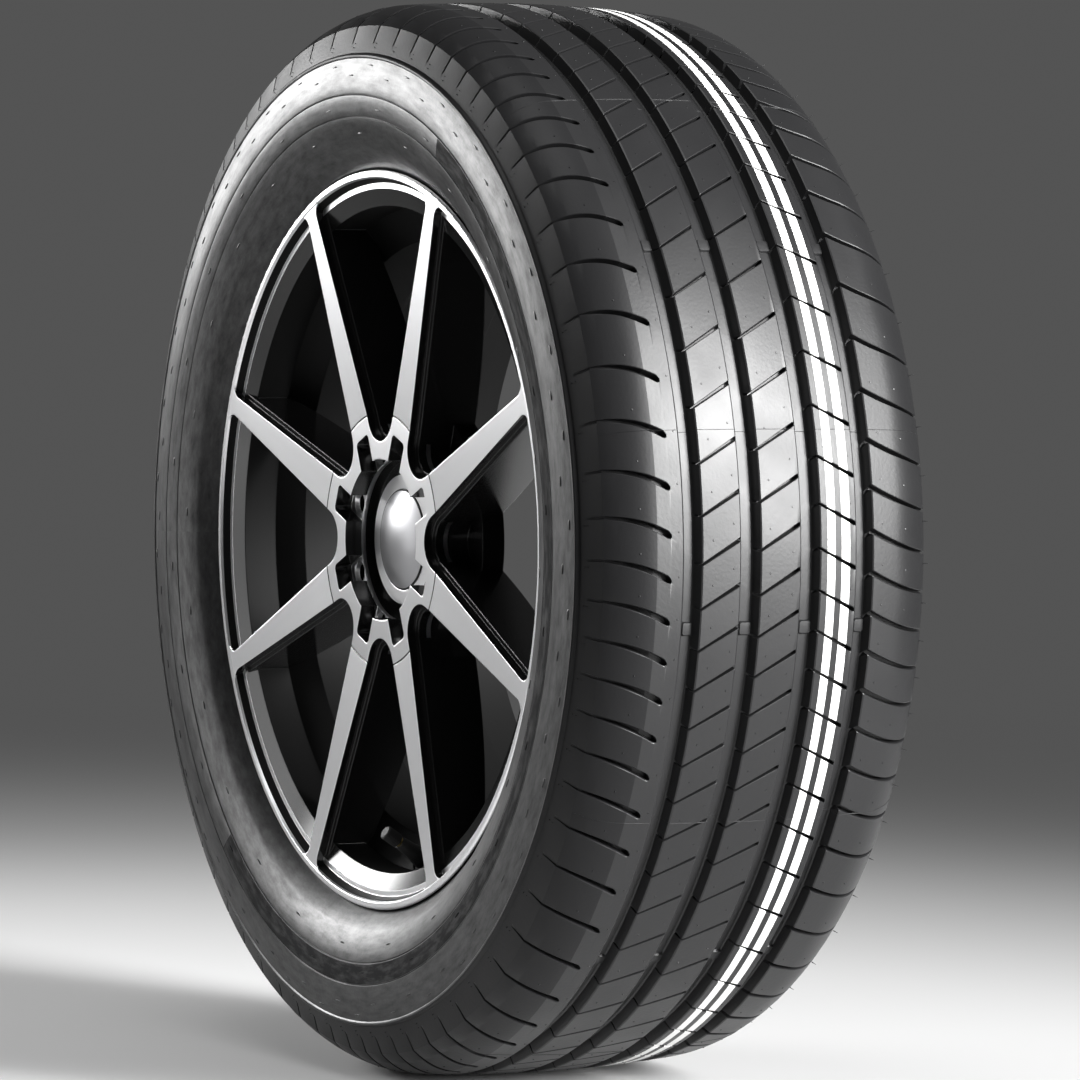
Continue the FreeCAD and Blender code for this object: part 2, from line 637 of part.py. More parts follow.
def make_centre_cap():
    """A domed cap: a rim that sits in the collar, a crowned face, and snap legs barbed behind the shelf."""
    seat_y = CAP_SEAT_Y - FIT_GAP
    leg_in = CAP_LEG_R - CAP_LEG_WALL
    rim_y = COLLAR_Y - CAP_WALL / 4
    face = turned([
        (rim_y - CAP_CROWN, 0, 0),
        (rim_y, CAP_R, CAP_CROWN_SAG),
        (seat_y, CAP_R, 0),
        (seat_y, leg_in, 0),
        (rim_y - CAP_CROWN + CAP_WALL, 0, -CAP_CROWN_SAG),
    ])
    barb_y = CAP_SHELF_Y + CAP_CLEARANCE
    legs = turned([
        (seat_y - CAP_RIM_THICK / 2, leg_in, 0),
        (seat_y - CAP_RIM_THICK / 2, CAP_LEG_R, 0),
        (barb_y, CAP_LEG_R, 0),
        (barb_y, CAP_LEG_R + CAP_BARB, 0),
        (CAP_LEG_END_Y, CAP_LEG_R - CAP_BARB / 2, 0),
        (CAP_LEG_END_Y, leg_in, 0),
        (barb_y + 2 * SPRING_WIRE_R, leg_in, 0),
        (barb_y + SPRING_WIRE_R, leg_in + SPRING_WIRE_R, 0),
        (barb_y, leg_in, 0),
    ])
    slot = Part.makeBox(CAP_LEG_SLOT, CAP_LEG_END_Y - seat_y, CAP_R,
                        V(-CAP_LEG_SLOT / 2, seat_y, 0))
    return face.fuse(legs.cut(around(slot, CAP_LEGS, 180.0 / CAP_LEGS)))


def make_cap_spring_ring():
    """The wire ring that spreads the cap's legs, in the notch behind their barbs."""
    y = CAP_SHELF_Y + CAP_CLEARANCE + SPRING_WIRE_R
    ring_r = CAP_LEG_R - CAP_LEG_WALL - SPRING_WIRE_R / 2
    return Part.makeTorus(ring_r, SPRING_WIRE_R - FIT_GAP, V(0, y, 0), AXIS)


def spun(points):
    """A solid of revolution about local Z from (r, z) points, for the valve's pieces."""
    wire = Part.makePolygon([V(r, 0, z) for r, z in points + points[:1]])
    return Part.Face(wire).revolve(ORIGIN, V(0, 0, 1), 360)


def make_valve_body():
    """The rubber body: a bulb inside the tyre, a neck in the hole, a collar and a tapered sleeve."""
    bore = STEM_R + FIT_GAP
    inset = (BARREL_WALL - VALVE_SEAT_WALL) / 2
    shown = -inset + FIT_GAP
    hidden = -inset - VALVE_SEAT_WALL - FIT_GAP
    neck = VALVE_HOLE_R - FIT_GAP
    return on_valve(spun([
        (bore, hidden - VALVE_BULB_LENGTH), (VALVE_RUBBER_TIP_R, hidden - VALVE_BULB_LENGTH),
        (VALVE_BULB_R, hidden - VALVE_BULB_LENGTH / 3), (VALVE_BULB_R, hidden),
        (neck, hidden), (neck, shown),
        (VALVE_COLLAR_R, shown), (VALVE_COLLAR_R, shown + VALVE_BULB_LENGTH / 3),
        (VALVE_RUBBER_MID_R, VALVE_RUBBER_LENGTH / 2),
        (VALVE_RUBBER_TIP_R, VALVE_RUBBER_LENGTH - FIT_GAP),
        (bore, VALVE_RUBBER_LENGTH - FIT_GAP),
    ]))


def make_valve_stem():
    """The brass stem: a tube in the rubber, and the head that takes the core inside and the cap outside."""
    core_seat = CORE_BOTTOM - SEAL_THICK - 2 * PIN_TRAVEL
    core_bore = CORE_R + FIT_GAP
    foot = -VALVE_SEAT_WALL - VALVE_BULB_LENGTH
    return on_valve(spun([
        (STEM_BORE_R, foot), (STEM_R, foot), (STEM_R, VALVE_RUBBER_LENGTH),
        (STEM_HEAD_R, VALVE_RUBBER_LENGTH), (STEM_HEAD_R, STEM_TIP - STEM_CHAMFER),
        (STEM_HEAD_R - STEM_CHAMFER, STEM_TIP), (core_bore, STEM_TIP),
        (core_bore, core_seat), (STEM_BORE_R, core_seat),
    ]))


def make_valve_core():
    """The core's body: a cup with a hole for the pin in its floor, and a lip that keeps the pin's head in."""
    cup = CORE_R - CORE_WALL
    hole = PIN_R + PIN_CLEARANCE
    return on_valve(spun([
        (hole, CORE_BOTTOM), (CORE_R, CORE_BOTTOM), (CORE_R, CORE_TOP), (hole, CORE_TOP),
        (hole, CORE_TOP - CORE_WALL + PIN_CLEARANCE), (cup, CORE_TOP - CORE_WALL + PIN_CLEARANCE),
        (cup, CORE_FLOOR), (hole, CORE_FLOOR),
    ]))


def make_valve_core_pin():
    """The pin that opens the valve when it is pressed: a tip, a head on the spring, and a shank."""
    foot = CORE_BOTTOM - SEAL_THICK - PIN_CLEARANCE
    return on_valve(spun([
        (0, foot), (PIN_R, foot), (PIN_R, PIN_HEAD_AT), (PIN_HEAD_R, PIN_HEAD_AT),
        (PIN_HEAD_R, PIN_HEAD_AT + PIN_HEAD_THICK), (PIN_R, PIN_HEAD_AT + PIN_HEAD_THICK),
        (PIN_R, CORE_TOP + PIN_TIP), (0, CORE_TOP + PIN_TIP),
    ]))


def make_valve_core_seal():
    """The rubber washer on the pin's foot, which closes against the core's floor."""
    top = CORE_BOTTOM - PIN_CLEARANCE
    return on_valve(spun([
        (PIN_R + PIN_CLEARANCE, top - SEAL_THICK), (STEM_BORE_R, top - SEAL_THICK),
        (STEM_BORE_R, top), (PIN_R + PIN_CLEARANCE, top),
    ]))


def make_valve_core_spring():
    """The coil spring between the core's floor and the pin's head."""
    coil_r = (PIN_R + CORE_R - CORE_WALL) / 2
    low = CORE_FLOOR + CORE_SPRING_WIRE_R + PIN_CLEARANCE
    high = PIN_HEAD_AT - CORE_SPRING_WIRE_R - PIN_CLEARANCE
    pitch = (high - low) / CORE_SPRING_TURNS
    helix = Part.makeHelix(pitch, high - low, coil_r)
    helix.translate(V(0, 0, low))
    turns = [math.radians(360.0 * i / CORE_SPRING_SIDES) for i in range(CORE_SPRING_SIDES + 1)]
    wire = Part.makePolygon([V(coil_r + CORE_SPRING_WIRE_R * math.cos(a), 0,
                               low + CORE_SPRING_WIRE_R * math.sin(a)) for a in turns])
    return on_valve(Part.Wire(helix).makePipeShell([wire], True, True))


def make_valve_cap():
    """The dust cap: a cup over the stem's head, with grip ribs on its outside."""
    inner = STEM_HEAD_R + CAP_THREAD_CLEARANCE
    foot = STEM_TIP - VALVE_CAP_SKIRT
    roof = STEM_TIP + GASKET_THICK + 2 * CAP_THREAD_CLEARANCE
    top = roof + VALVE_CAP_TOP
    bevel = VALVE_CAP_RIB_R
    cap = spun([
        (inner, foot), (VALVE_CAP_R - bevel, foot), (VALVE_CAP_R, foot + bevel),
        (VALVE_CAP_R, top - 2 * bevel), (VALVE_CAP_R - 2 * bevel, top), (0, top), (0, roof), (inner, roof),
    ])
    flute = Part.makeCylinder(VALVE_CAP_RIB_R, top - foot, V(VALVE_CAP_R + VALVE_CAP_RIB_R / 3, 0, foot))
    flutes = []
    for i in range(VALVE_CAP_RIBS):
        copy = flute.copy()
        copy.rotate(ORIGIN, V(0, 0, 1), i * 360.0 / VALVE_CAP_RIBS)
        flutes.append(copy)
    return on_valve(cap.cut(flutes))


def make_valve_cap_gasket():
    """The flat washer in the cap's roof, which closes on the stem's tip."""
    low = STEM_TIP + CAP_THREAD_CLEARANCE
    return on_valve(spun([
        (PIN_HEAD_R, low), (STEM_HEAD_R, low), (STEM_HEAD_R, low + GASKET_THICK),
        (PIN_HEAD_R, low + GASKET_THICK),
    ]))


PIECES = {
    "tyre": make_tyre,
    "alloy_wheel": make_alloy_wheel,
    "centre_cap": make_centre_cap,
    "centre_cap_spring_ring": make_cap_spring_ring,
    "valve_body": make_valve_body,
    "valve_stem": make_valve_stem,
    "valve_core": make_valve_core,
    "valve_core_pin": make_valve_core_pin,
    "valve_core_seal": make_valve_core_seal,
    "valve_core_spring": make_valve_core_spring,
    "valve_cap": make_valve_cap,
    "valve_cap_gasket": make_valve_cap_gasket,
}

os.makedirs("parts", exist_ok=True)
for name, make in PIECES.items():
    solid = make()
    print(name, "valid" if solid.isValid() else "NOT VALID", len(solid.Solids), round(solid.Volume, 2))
    solid.exportStep(os.path.join("parts", name + ".step"))
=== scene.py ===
# %% [markdown]
# # A car wheel with its tyre
#
# The frame holds the wheel as the CAD made it: it spins about Y, its outboard face looks towards -Y
# and Z is up. This lesson gives it its looks: a tyre with its whole tread pattern, finishes for the
# alloy, the cap and the valve, and a small studio. Sizes are written in millimetres, because that is
# how tyres are measured, and turned into metres when a mesh is made.

import json
import math

import bpy
import numpy as np
from mathutils import Matrix, Vector


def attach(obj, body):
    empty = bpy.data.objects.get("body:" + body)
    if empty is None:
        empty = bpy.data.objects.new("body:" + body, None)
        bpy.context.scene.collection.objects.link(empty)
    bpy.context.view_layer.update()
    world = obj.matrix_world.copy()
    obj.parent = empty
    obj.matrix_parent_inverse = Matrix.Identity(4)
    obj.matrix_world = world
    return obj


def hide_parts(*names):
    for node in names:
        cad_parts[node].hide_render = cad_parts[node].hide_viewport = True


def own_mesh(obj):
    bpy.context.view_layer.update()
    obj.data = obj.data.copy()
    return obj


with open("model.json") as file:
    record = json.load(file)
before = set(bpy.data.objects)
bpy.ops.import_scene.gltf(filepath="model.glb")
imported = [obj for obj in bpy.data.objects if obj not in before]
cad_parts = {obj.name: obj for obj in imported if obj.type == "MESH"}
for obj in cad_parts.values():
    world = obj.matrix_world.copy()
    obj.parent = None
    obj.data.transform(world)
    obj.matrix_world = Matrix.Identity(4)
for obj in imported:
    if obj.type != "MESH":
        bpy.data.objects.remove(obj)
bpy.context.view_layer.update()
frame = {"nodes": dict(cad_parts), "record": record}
MM = 0.001


# %% [markdown]
# ## Tools for meshes
#
# Every new surface here is a grid of points: some rows round the wheel and some columns across it.
# A grid that closes on itself both ways is a ring without any open edge, which is what a tyre is.
# The faces of such a grid follow from its two counts alone, so one function serves for all of them.

# %% Mesh helpers
def ring_faces(rows, columns):
    """Quads of a grid that closes both ways: each joins a point to the next row and the next column."""
    row, column = np.meshgrid(np.arange(rows), np.arange(columns), indexing="ij")
    next_row = (row + 1) % rows
    next_column = (column + 1) % columns
    corners = (row * columns + column, row * columns + next_column,
               next_row * columns + next_column, next_row * columns + column)
    return np.stack(corners, axis=-1).reshape(-1, 4).tolist()


def mesh_object(name, points, faces, sharp_deg=22.0):
    """A mesh object from points in millimetres and quads, smooth but for edges sharper than sharp_deg."""
    mesh = bpy.data.meshes.new(name)
    mesh.from_pydata((np.asarray(points) * MM).tolist(), [], faces)
    mesh.polygons.foreach_set("use_smooth", np.ones(len(mesh.polygons), dtype=bool))
    mesh.set_sharp_from_angle(angle=math.radians(sharp_deg))
    mesh.update()
    piece = bpy.data.objects.new(name, mesh)
    bpy.context.scene.collection.objects.link(piece)
    print(name, len(mesh.vertices), "points", len(mesh.polygons), "faces")
    return piece


def around_axis(radius, y, angle):
    """Points at a radius and an angle about Y, counted from +X towards +Z."""
    return np.stack([radius * np.cos(angle), y + 0 * angle, radius * np.sin(angle)], axis=-1)


def smooth_step(low, high, value):
    """0 below low, 1 above high, and an S between them."""
    t = np.clip((value - low) / (high - low), 0, 1)
    return t * t * (3 - 2 * t)


# %% [markdown]
# ## The tyre's section
#
# A tyre is moulded, so its outside is one profile swept round the axle. The tread is an arc of a large
# circle, the shoulders are small arcs that run tangent out of it, and the sidewall bulges from a ridge
# at the shoulder to its widest place and back in to the rim. The profile is written as corner points,
# each with the sag of the arc that leads to it, and turned into stations that lie closer together where
# it curves. The four grooves are part of this profile: their walls lean, so that the tyre leaves its
# mould.

# %% Tyre profile
CROWN_R = 381.1
CROWN_ARC_R = 1048.0
TREAD_HALF = 90.0
GROOVE_DEPTH = 8.0
GROOVES = ((-64.7, 13.0), (-22.5, 14.6), (22.5, 14.6), (64.7, 13.0))
NEAR_WALL_RUN = 3.4
FAR_WALL_RUN = 2.2
WALL_FOOT = 0.9
WALL_DEPTH = 7.2
GROOVE_LIP, GROOVE_LIP_DROP = 0.9, 0.5
# First and last y of the three ribs between the grooves
RIBS = ((-57.3, -30.7), (-14.3, 14.3), (30.7, 57.3))
# Stations on the two shoulders as y, and on a rib as shares of its width
OUTBOARD_STATIONS = (-90.0, -88.0, -86.0, -84.0, -82.6, -81.4, -80.6, -80.1, -79.7, -76.0)
INBOARD_STATIONS = (75.0, 80.0, 85.0, 90.0)
RIB_STATIONS = (0.2, 0.4, 0.6, 0.8, 0.9, 0.96)
SHOULDER_STATIONS = 12
ENGRAVED_R = (313.0, 297.5)
ENGRAVED_DEPTH = 0.7
ENGRAVED_WIDTH = 0.45
WIDEST_Y, WIDEST_R = 132.5, 317.0
UPPER_WALL_ARC_R, LOWER_WALL_ARC_R = 86.2, 89.5


def crown_radius(y):
    """Radius of the tread at a distance from the middle plane: an arc of a large circle."""
    return CROWN_R - CROWN_ARC_R + np.sqrt(CROWN_ARC_R ** 2 - np.square(y))


def arc_points(start, end, sag, count):
    """Points after start, up to end, on the arc with that sag to the left of the way (0: straight)."""
    start = np.array(start, dtype=float)
    end = np.array(end, dtype=float)
    t = np.linspace(0, 1, count + 1)[1:, None]
    chord = end - start
    length = np.hypot(*chord)
    if abs(sag) < 1e-9:
        return start + chord * t
    radius = (length ** 2 / 4 + sag ** 2) / (2 * sag)
    half_turn = math.asin(np.clip(length / 2 / abs(radius), -1, 1))
    angle = (2 * t - 1) * half_turn
    along = chord / length
    left = np.array([-along[1], along[0]])
    rise = radius * np.cos(angle) - radius * math.cos(half_turn)
    return (start + end) / 2 + along * abs(radius) * np.sin(angle) + left * rise


def tangent_sag(start, end, slope_deg):
    """Sag of the arc that leaves start at that slope and ends at end."""
    dy, dr = end[0] - start[0], end[1] - start[1]
    turn = math.radians(slope_deg) - math.atan2(dr, dy)
    return math.hypot(dy, dr) / 2 * math.tan(turn / 2)


def sidewall_y(radius):
    """Half width of the sidewall at a radius: two arcs that meet upright at the widest place, with two
    fine engraved circles."""
    up = radius - WIDEST_R
    above = WIDEST_Y - UPPER_WALL_ARC_R + np.sqrt(UPPER_WALL_ARC_R ** 2 - np.square(np.maximum(up, 0)))
    below = WIDEST_Y - LOWER_WALL_ARC_R + np.sqrt(LOWER_WALL_ARC_R ** 2 - np.square(np.minimum(up, 0)))
    lines = sum(np.exp(-np.square((radius - line) / ENGRAVED_WIDTH)) for line in ENGRAVED_R)
    return np.where(radius > WIDEST_R, above, below) - ENGRAVED_DEPTH * lines


def side_profile():
    """From the tread's edge over the shoulder, the ridge, the sidewall and the bead to the inner crown."""
    edge = (TREAD_HALF, float(crown_radius(TREAD_HALF)))
    slope = -math.degrees(math.asin(TREAD_HALF / CROWN_ARC_R))
    shoulder = (121.0, 361.5)
    foot = (127.7, 342.4)
    radius = np.array([338.4, 334.5, 330.5, 326.5, 322.5, 318.5, 314.6, 313.6, 313.0, 312.4, 311.4, 307.0,
                       302.5, 299.2, 298.1, 297.5, 296.9, 295.8, 291.0, 286.0, 281.0, 277.5, 274.0])
    wall = np.stack([sidewall_y(radius), radius], axis=-1)
    over_flange, curl = (108.66, 260.34), (101.4, 251.6)
    heel, toe, toe_top = (96.0, 243.9), (81.6, 242.5), (81.6, 247.0)
    ply_foot, ply_side, ply_shoulder = (112.5, 274.0), (123.5, 317.0), (104.0, 360.3)
    outside = [
        arc_points(edge, shoulder, tangent_sag(edge, shoulder, slope), SHOULDER_STATIONS),
        arc_points(shoulder, foot, 0, 6),
        np.array([(129.9, 341.6), (130.6, 340.6), (130.5, 339.4)]),
        wall,
    ]
    inside = [
        (wall[-1], over_flange, 0, 2),
        (over_flange, curl, -2.4, 2),
        (curl, heel, 1.6, 2),
        (heel, toe, 0, 1),
        (toe, toe_top, 0, 1),
        (toe_top, ply_foot, -3.0, 2),
        (ply_foot, ply_side, 2.0, 2),
        (ply_side, ply_shoulder, 8.0, 2),
        (ply_shoulder, (40.0, 364.7), 1.0, 1),
    ]
    return np.concatenate(outside + [arc_points(p, q, sag, n) for p, q, sag, n in inside])


def groove_wall(half, run):
    """A groove's wall from its lip to its floor, as distances from the groove's middle and depths."""
    lip = [(half + GROOVE_LIP, 0.0), (half, GROOVE_LIP_DROP)]
    return lip + [(half - run, WALL_DEPTH), (half - run - WALL_FOOT, GROOVE_DEPTH)]


def tread_stations():
    """Stations across the tread, as y and the depth under the crown: close together where a groove
    turns over its edge, and where the shoulder's lateral grooves end."""
    stations = [(y, 0.0) for y in OUTBOARD_STATIONS]
    for y, width in GROOVES:
        half = width / 2
        stations += [(y - a, d) for a, d in groove_wall(half, NEAR_WALL_RUN)]
        stations += [(y + a, d) for a, d in reversed(groove_wall(half, FAR_WALL_RUN))]
        for low, high in RIBS:
            if abs(y + half + GROOVE_LIP - low) < 1.0:
                stations += [(low + (high - low) * t, 0.0) for t in RIB_STATIONS]
    stations += [(y, 0.0) for y in INBOARD_STATIONS]
    return np.array(stations)


tread = tread_stations()
side_curve = side_profile()
tread_curve = np.stack([tread[:, 0], crown_radius(tread[:, 0]) - tread[:, 1]], axis=-1)
mirror = side_curve[::-1] * (-1, 1)
profile = np.concatenate([mirror, tread_curve, side_curve])
print("profile stations", len(profile))


# %% [markdown]
# ## The tread pattern
#
# Lateral grooves and sipes cross the ribs. They come round and round at a pitch, and the pitch isn't
# even: makers vary it so that the tyre doesn't sing one note. Here it swells and shrinks five times
# round the tyre. Each rib leans its cuts its own way, straight on the ribs and in a parabola on the
# shoulders, so the rows of the grid lean with them: a row is shifted along the tread by a lean that
# depends on the column alone. Seven rows make one pitch: two at each edge of the cut, two on its floor
# and one across the block. Columns where no cut is due simply leave those rows on the surface.

# %% Tyre with tread pattern
PITCHES = 76
PITCH_SWING = 0.201
PITCH_CYCLES = 5
LONG_PITCH_DEG = 22.6
FIRST_CUT_DEG = 2.18
CUT_DEPTH = 6.0
CUTS_DOWN_TO = 33.0
CUT_EDGE = 0.5
CUT_DRAFT = 0.45
LIP = 1.2

# Per rib: how far its cuts are shifted along the tread at its first and last y
LEANS = ((-22.3, -6.7), (-13.4, 3.1), (15.7, 2.8))
# Per shoulder: the y where it is measured, the shift there, its slope and its bend
OUTBOARD_LEAN = (-88.0, 0.0, -0.46, -0.0056)
INBOARD_LEAN = (90.0, 18.7, -0.36, 0.0042)
OUTBOARD_END = -80.0
INBOARD_START = 72.1
# The y between which each shoulder has cuts, and per rib also the half widths at its two ends
OUTBOARD_CUTS = (-125.0, -79.9)
INBOARD_CUTS = (71.0, 127.0)
RIB_CUTS = ((-58.2, -29.8, 0.8, 1.3), (-15.3, 13.3, 0.8, 1.4), (29.7, 56.9, 0.8, 1.5))
# Per shoulder: half width of its cuts at their faint end, what they gain along the way, the faint end's
# share of the depth, and the share of the way after which they are fully deep
OUTBOARD_SHAPE = (1.0, 1.4, 0.1, 0.45)
INBOARD_SHAPE = (0.9, 1.0, 0.2, 0.3)
OUTBOARD_WAY = 42.0
ROUND_END_FROM, ROUND_END_LENGTH = -82.7, 2.8
UNCUT_HALF = 1.2


def cut_angle(number):
    """Angle of a cut by its number: numbers rise with the angle, slower where pitches are long."""
    angle = np.radians(np.linspace(-200, 200, 8001))
    wave = PITCH_SWING / PITCH_CYCLES * np.sin(PITCH_CYCLES * (angle - math.radians(LONG_PITCH_DEG)))
    count = PITCHES / (2 * math.pi) * (angle - wave)
    first = np.interp(math.radians(FIRST_CUT_DEG), angle, count)
    turns = np.floor((number + PITCHES / 2) / PITCHES)
    return np.interp(first + number - turns * PITCHES, count, angle) + turns * 2 * math.pi


def shoulder_lean(y, measured_y, shift, slope, bend):
    """Shift of a shoulder's cuts: a parabola in the distance from where it was measured."""
    d = y - measured_y
    return shift + slope * d + bend * d * d


def lean_of(y):
    """Shift of the cuts along the tread: a parabola on each shoulder, straight leans on the ribs."""
    inboard_y = INBOARD_START - LIP
    knots = [(OUTBOARD_END, shoulder_lean(OUTBOARD_END, *OUTBOARD_LEAN))]
    for (low, high), (at_low, at_high) in zip(RIBS, LEANS):
        over_lip = LIP * (at_high - at_low) / (high - low)
        knots += [(low - LIP, at_low - over_lip), (high + LIP, at_high + over_lip)]
    knots += [(inboard_y, shoulder_lean(inboard_y, *INBOARD_LEAN))]
    ribs = np.interp(y, *zip(*knots))
    lean = np.where(y < OUTBOARD_END, shoulder_lean(y, *OUTBOARD_LEAN), ribs)
    return np.where(y > inboard_y, shoulder_lean(y, *INBOARD_LEAN), lean)


def fading_depth(faint, over, reach):
    """Depth of a shoulder's cuts: a faint share of it at their end, and all of it from over on."""
    return CUT_DEPTH * (faint + (1 - faint) * smooth_step(0.0, over, reach))


def cut_shape(y, radius):
    """Half width and depth of the cut at each station of the profile, 0 deep where there is none."""
    half = np.full(len(y), UNCUT_HALF)
    depth = np.zeros(len(y))
    on_top = radius > crown_radius(np.clip(y, -TREAD_HALF, TREAD_HALF)) - CUTS_DOWN_TO
    low, high = OUTBOARD_CUTS
    left = on_top & (y < high) & (y > low)
    reach = np.clip((y - low) / OUTBOARD_WAY, 0, 1)
    past = np.clip((y - ROUND_END_FROM) / ROUND_END_LENGTH, 0, 1)
    round_end = np.sqrt(np.clip(1 - np.square(past), 0.02, 1))
    narrow, gain, faint, over = OUTBOARD_SHAPE
    half = np.where(left, (narrow + gain * reach) * round_end, half)
    depth = np.where(left, fading_depth(faint, over, reach), depth)
    for low, high, w0, w1 in RIB_CUTS:
        rib = on_top & (y >= low) & (y <= high)
        half = np.where(rib, w0 + (w1 - w0) * (y - low) / (high - low), half)
        depth = np.where(rib, CUT_DEPTH, depth)
    low, high = INBOARD_CUTS
    right = on_top & (y > low) & (y < high)
    fade = np.clip((high - y) / (high - low), 0, 1)
    narrow, gain, faint, over = INBOARD_SHAPE
    half = np.where(right, narrow + gain * fade, half)
    depth = np.where(right, fading_depth(faint, over, fade), depth)
    return half, depth


def profile_normals(points):
    """Unit normals of the closed profile in its plane, pointing out of the rubber."""
    along = np.roll(points, -1, axis=0) - np.roll(points, 1, axis=0)
    normal = np.stack([-along[:, 1], along[:, 0]], axis=-1)
    return normal / np.linalg.norm(normal, axis=1, keepdims=True)


def tread_grid():
    """All points of the tyre, as rows by columns: rows follow the cuts, columns follow the profile."""
    y, radius = profile[:, 0], profile[:, 1]
    half, depth = cut_shape(y, radius)
    out = np.where(np.abs(y)[:, None] > TREAD_HALF, profile_normals(profile), np.array([0.0, 1.0]))
    number = np.arange(PITCHES)[:, None, None] + 0 * y
    here, beyond = cut_angle(number), cut_angle(number + 1)
    lean = lean_of(y) / CROWN_R
    edge = (half + CUT_EDGE) / CROWN_R
    steps = np.stack([-edge, -half / CROWN_R, -(half - CUT_DRAFT) / CROWN_R,
                      (half - CUT_DRAFT) / CROWN_R, half / CROWN_R, edge])
    sunk = np.array([0.0, 0.05, 1.0, 1.0, 0.05, 0.0, 0.0])
    angle = np.concatenate([here + steps[None], (here + beyond) / 2], axis=1) + lean
    drop = sunk[None, :, None] * depth + 0 * angle
    rows = (PITCHES * 7, len(y))
    angle = angle.reshape(rows)
    drop = drop.reshape(rows)
    return around_axis(radius - drop * out[:, 1], y - drop * out[:, 0], angle)


grid = tread_grid()
tyre = mesh_object("tyre_with_tread", grid.reshape(-1, 3), ring_faces(*grid.shape[:2]))
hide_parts("tyre")
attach(tyre, "wheel")


# %% [markdown]
# ## Small marks of the mould
#
# Rubber flows into every vent of its mould, so a new tyre carries small pips and hairs, short ticks on
# the sidewall, and bars in the grooves that show when it is worn. All of them are low lumps that stand
# on the surface: a ring of eight points sunk into the rubber, a smaller ring above it and a top. One
# function makes any number of them at once from their places and directions.

# %% Lumps on the rubber
BARS = 9
FIRST_BAR_DEG = -7.7
FIRST_PARTING_DEG = 12.0
LUMP_FOOT, LUMP_SHOULDER_SHARE = 0.4, 0.8
PIP_R, PIP_HEIGHT = 0.9, 0.35
HAIR_R, HAIR_TIP_SHARE = 0.45, 0.35
HAIR_SHIFT = 0.011
HAIR_ASIDE, HAIR_AWAY = 0.75, 0.66
TICK_HALF_LENGTH, TICK_HALF_WIDTH, TICK_HEIGHT = 4.8, 0.7, 0.6
BAR_HALF_LENGTH, BAR_HEIGHT, BAR_SHIFT, BAR_CLEARANCE = 5.0, 1.8, 1.2, 2.2
# Corners of a parting line's section: height over the tread, and place along it
PARTING_SECTION = ((-0.5, -0.4), (-0.5, 0.4), (0.22, 0.0))
# Pips beside every cut: y and shift along the tread
PIPS = ((-74.5, 7.5), (-101.0, 9.0), (-50.0, 11.0), (-35.0, 13.0), (-8.0, 10.0), (9.0, 14.0),
        (36.0, 9.0), (54.0, 12.0), (79.0, 9.0), (98.0, 12.0))
# Hairs at the shoulders: side, radius, y and length
HAIRS = ((1, 364.5, 119.2, 3.5), (-1, 346.0, 126.4, 1.2), (-1, 349.0, 125.3, 0.9))
# Ticks on each sidewall: radius, count and first angle
TICKS = ((334.0, 36, 3.0), (326.5, 36, 8.0), (304.0, 24, 5.0), (286.0, 24, 12.0))


def lumps(centre, out, along, length, width, height, square=1.0, shoulder=0.6):
    """Points and faces of many low lumps: half a length and half a width round each centre, rising by
    the height along out. A smaller square makes the ring less round, and shoulder is the upper ring's
    share of the lower one."""
    across = np.cross(out, along)
    turn = np.radians(np.arange(8) * 45.0 + 22.5)
    ring_a = (np.sign(np.cos(turn)) * np.abs(np.cos(turn)) ** square)[None, :, None] * length
    ring_b = (np.sign(np.sin(turn)) * np.abs(np.sin(turn)) ** square)[None, :, None] * width
    ring = along[:, None] * ring_a + across[:, None] * ring_b
    centre, out = centre[:, None], out[:, None]
    foot = centre - out * LUMP_FOOT
    low = foot + ring
    high = centre + ring * shoulder + out * height * LUMP_SHOULDER_SHARE
    points = np.concatenate([low, high, centre + out * height, foot], axis=1)
    faces = []
    for i in range(8):
        j = (i + 1) % 8
        faces += [(i, j, 8 + j, 8 + i), (8 + i, 8 + j, 16), (17, j, i)]
    count = len(points)
    all_faces = [tuple(18 * n + v for v in face) for n in range(count) for face in faces]
    return points.reshape(-1, 3), all_faces


def joined(parts):
    """Several sets of points and faces as one."""
    points, faces, start = [], [], 0
    for some_points, some_faces in parts:
        points.append(some_points)
        faces += [tuple(v + start for v in face) for face in some_faces]
        start += len(some_points)
    return np.concatenate(points), faces


def rubber_radius(y):
    """Radius of the rubber at a distance from the middle plane, also on the rounded shoulders."""
    if abs(y) < TREAD_HALF:
        return crown_radius(y)
    shoulder = side_curve[:SHOULDER_STATIONS]
    return np.interp(abs(y), shoulder[:, 0], shoulder[:, 1])


def on_tread(y, shift, numbers):
    """Centres and directions on the tread beside the cuts with these numbers, at y and a shift in mm."""
    angle = cut_angle(numbers) + (lean_of(np.array([y]))[0] + shift) / CROWN_R
    out = around_axis(np.ones_like(angle), 0.0, angle)
    along = np.stack([-np.sin(angle), 0 * angle, np.cos(angle)], axis=-1)
    return around_axis(rubber_radius(y) + 0 * angle, y, angle), out, along


def on_side(radius, side, angle, half_width):
    """Centres and directions on a sidewall at a radius, for side -1 (outboard) or 1."""
    out = np.stack([0 * angle, side + 0 * angle, 0 * angle], axis=-1)
    along = np.stack([-np.sin(angle), 0 * angle, np.cos(angle)], axis=-1)
    return around_axis(radius + 0 * angle, side * half_width, angle), out, along


